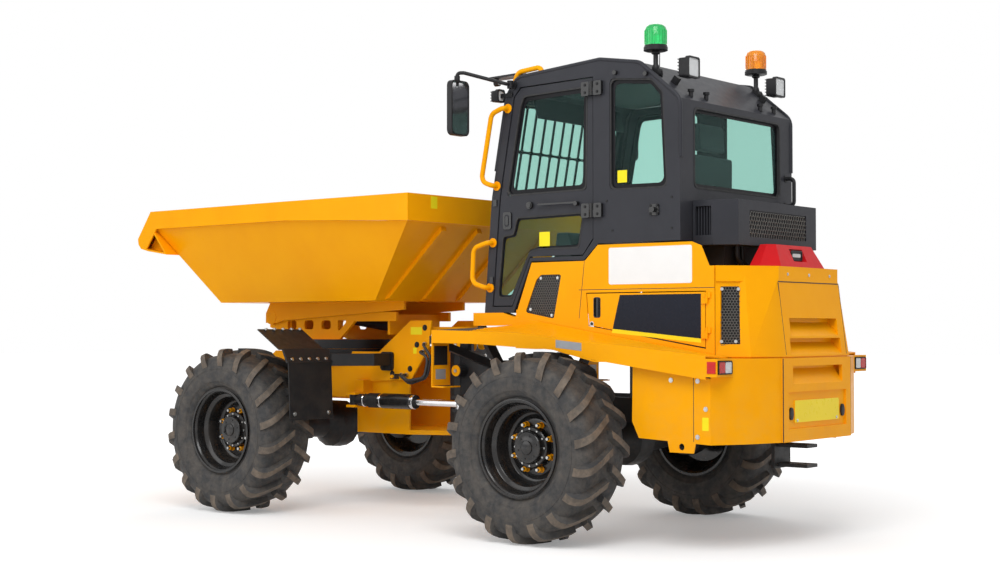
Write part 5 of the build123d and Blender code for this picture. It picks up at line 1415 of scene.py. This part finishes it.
# each slot is a black box standing a little proud of the strip: painted shade where the hole is
for i in range(lip["slots"]):
    onLip(span(lip["slotRun"] * (i / (lip["slots"] - 1) - 0.5), lip["slotHalf"]), lip["slotY"], lip["slotZ"],
          1)
plate(bm, "Y", lip["notice"], *lip["noticeY"], None, 2)
fromBmesh("lipWearStrip", bm, "skip_body", [bodyYellow, satinBlackAndSlotShade, labelYellow])
print("chassis and skip fittings made")

# ---- cab interior: lining, sun visor, display, levers
cabin = {
    "halfX": 0.56, "lining": [(0.840, 2.640), (1.408, 2.689), (1.655, 2.645), (1.895, 2.470), (1.895, 2.462),
                              (1.650, 2.636),
                              (1.408, 2.680), (0.840, 2.631)],
    "visor": [(0.790, 2.600), (0.830, 2.470), (0.838, 2.473), (0.800, 2.604)], "visorCorner": 0.002,
    "visorHalf": 0.45,
    "display": ((-0.10, 0.10), (0.845, 0.870), (1.985, 2.075)), "displayTilt": -25,
    "displayPivot": (0, 0.86, 2.03),
    "stem": ((0, 0.845, 1.86), (0, 0.86, 2.00), 0.014, 14, 1),
    "levers": ((-0.36, 1.40, 1.96), (-0.42, 1.52, 1.96), (-0.36, 1.58, 1.96)),
    "rearShelf": ((1.90, 1.912), (1.76, 1.975)),
}
bm = bmesh.new()
plate(bm, "X", cabin["lining"], -cabin["halfX"], cabin["halfX"])
plate(bm, "X", roundLoop(cabin["visor"], cabin["visorCorner"]), -cabin["visorHalf"], cabin["visorHalf"], None,
      1)
boxAt(bm, *cabin["display"], 1, Matrix.Rotation(math.radians(cabin["displayTilt"]), 3, "X"),
      cabin["displayPivot"])
rod(bm, *cabin["stem"])
for x, y, z in cabin["levers"]:
    rod(bm, (x, y, z - 0.002), (x, y - 0.02, z + 0.12), 0.008, 12, 1)
    rod(bm, (x, y - 0.019, z + 0.115), (x, y - 0.024, z + 0.155), 0.020, 16, 1, 0.014)
boxAt(bm, (-cabin["halfX"], cabin["halfX"]), *cabin["rearShelf"], 1)
fromBmesh("cabLining", bm, "rear_frame", [headliner, dashPlastic])

# ---- seat: cushion, back and head rest, puffed up by a cloth run
pads = (
    # profile in side view, half width, and how its side bolsters are shifted in y and z
    ([(1.268, 1.800), (1.252, 1.850), (1.270, 1.880), (1.632, 1.880), (1.640, 1.800)], 0.232, (0, 0.018)),
    ([(1.655, 1.860), (1.700, 2.215), (1.775, 2.215), (1.765, 1.800), (1.668, 1.800)], 0.232, (-0.022, 0)),
    ([(1.712, 2.240), (1.722, 2.395), (1.770, 2.402), (1.782, 2.240)], 0.135, None),
)
seat = {"corner": 0.022, "bolsterCorner": 0.02, "bolster": (0.165, 0.234), "liftOver": 1.82, "voxel": 0.0065,
        "quickVoxel": 0.012,
        "low": 1.806, "behind": 1.75, "seamHalf": 0.004, "middleHalf": 0.003, "pressure": 4.0,
        "stiffness": 40, "quality": 4,
        "frames": 20, "reach": 0.010, "smooth": 50}
bm = bmesh.new()
for profile, half, shift in pads:
    plate(bm, "X", roundLoop(profile, seat["corner"], 3), -half, half)
    if shift:
        bolster = [(y + shift[0], z + (shift[1] if z > seat["liftOver"] else 0)) for y, z in profile]
        for side in (1, -1):
            sidePlate(bm, side, roundLoop(bolster, seat["bolsterCorner"], 3), *seat["bolster"])
holder = placeObject("seatHolder", meshOf(bm, "seatPlain"))
remesh = holder.modifiers.new("remesh", "REMESH")
remesh.mode = "VOXEL"
remesh.voxel_size = seat["voxel"]
padMesh = takeMesh(holder, "seatPads")
# seams and the parts against the base stay put, and the rest swells by no more than the reach
puffed = placeObject("seatPuffed", padMesh)
start = [v.co.copy() for v in padMesh.vertices]
seams = [i for i, (x, y, z) in enumerate(start)
         if z < seat["low"] or y > seat["behind"] or abs(x) < seat["middleHalf"]
         or abs(abs(x) - seat["bolster"][0]) < seat["seamHalf"]]
puffed.vertex_groups.new(name="held").add(seams, 1.0, "REPLACE")
cloth = puffed.modifiers.new("cloth", "CLOTH").settings
cloth.vertex_group_mass = "held"
cloth.use_pressure = True
cloth.uniform_pressure_force = seat["pressure"]
cloth.effector_weights.gravity = 0.0
cloth.tension_stiffness = cloth.compression_stiffness = seat["stiffness"]
cloth.quality = seat["quality"]
for frameNumber in range(1, seat["frames"] + 1):
    bpy.context.scene.frame_set(frameNumber)
padMesh = takeMesh(puffed, "seatPads")
bpy.context.scene.frame_set(1)
for vertex, place in zip(padMesh.vertices, start):
    swell = vertex.co - place
    if swell.length > seat["reach"]:
        vertex.co = place + swell.normalized() * seat["reach"]
seatPads = addPiece("seatPads", padMesh, "rear_frame", [seatCloth], seat["smooth"], "seat")
print("cab interior made")

# ---- floor, light and camera
stageLook = {"floor": (0.9, 0.9, 0.9), "floorHalf": 60, "floorRoughness": 0.9, "floorGloss": 0.1,
             "floorGlow": (0.25, 0.65),
             "glowReach": (2.5, 7.0), "sky": (0.52, 1.0), "lampSize": 5.0}
# place, height of what it points at, power
lamps = {"keyLamp": ((5.5, 4.5, 7.5), 1.2, 450), "fillLamp": ((7.0, -3.5, 4.0), 1.2, 120),
         "backLamp": ((-6.0, -4.0, 6.0), 1.5, 130)}
half = stageLook["floorHalf"]
floorMesh = bpy.data.meshes.new("floor")
floorMesh.from_pydata([(-half, -half, 0), (half, -half, 0), (half, half, 0), (-half, half, 0)], [],
                      [(0, 1, 2, 3)])
floor = placeObject("floor", floorMesh)
floorMat, floorTree, floorShader = newMaterial("floorPale", stageLook["floor"], stageLook["floorRoughness"])
floorShader.inputs["Specular IOR Level"].default_value = stageLook["floorGloss"]
floorShader.inputs["Emission Color"].default_value = (1, 1, 1, 1)
floorReach = floorTree.nodes.new("ShaderNodeVectorMath")
floorReach.operation = "LENGTH"
floorTree.links.new(objectPlace(floorTree), floorReach.inputs[0])
floorGlow = spread(floorTree, floorReach.outputs["Value"], *stageLook["floorGlow"], *stageLook["glowReach"])
floorTree.links.new(mathNode(floorTree, "MULTIPLY", seenDirectly(floorTree), floorGlow),
                    floorShader.inputs["Emission Strength"])
floorMesh.materials.append(floorMat)

world = bpy.data.worlds.new("studio")
bpy.context.scene.world = world
world.use_nodes = True
background = world.node_tree.nodes["Background"]
background.inputs["Color"].default_value = (1, 1, 1, 1)
skyStrength = spread(world.node_tree, seenDirectly(world.node_tree), *stageLook["sky"], 0.0, 1.0)
world.node_tree.links.new(skyStrength, background.inputs["Strength"])

for name, (place, aim, power) in lamps.items():
    data = bpy.data.lights.new(name, "AREA")
    data.shape = "SQUARE"
    data.size = stageLook["lampSize"]
    data.energy = power
    lamp = placeObject(name, data)
    lamp.location = place
    lamp.rotation_euler = (Vector((0, 0, aim)) - Vector(place)).to_track_quat("-Z", "Y").to_euler()

cameraSet = {"place": (7.996, 6.744, 1.203), "yaw": 219.45, "pitch": 1.7, "sensor": 36.0, "lens": 57.438}
cameraData = bpy.data.cameras.new("camera")
cameraData.sensor_width = cameraSet["sensor"]
cameraData.lens = cameraSet["lens"]
camera = placeObject("camera", cameraData)
yaw, pitch = math.radians(cameraSet["yaw"]), math.radians(cameraSet["pitch"])
gaze = Vector((math.cos(pitch) * math.cos(yaw), math.cos(pitch) * math.sin(yaw), math.sin(pitch)))
camera.location = cameraSet["place"]
camera.rotation_euler = gaze.to_track_quat("-Z", "Y").to_euler()
bpy.context.scene.camera = camera
bpy.context.scene.view_settings.view_transform = "Standard"
print("stage made")
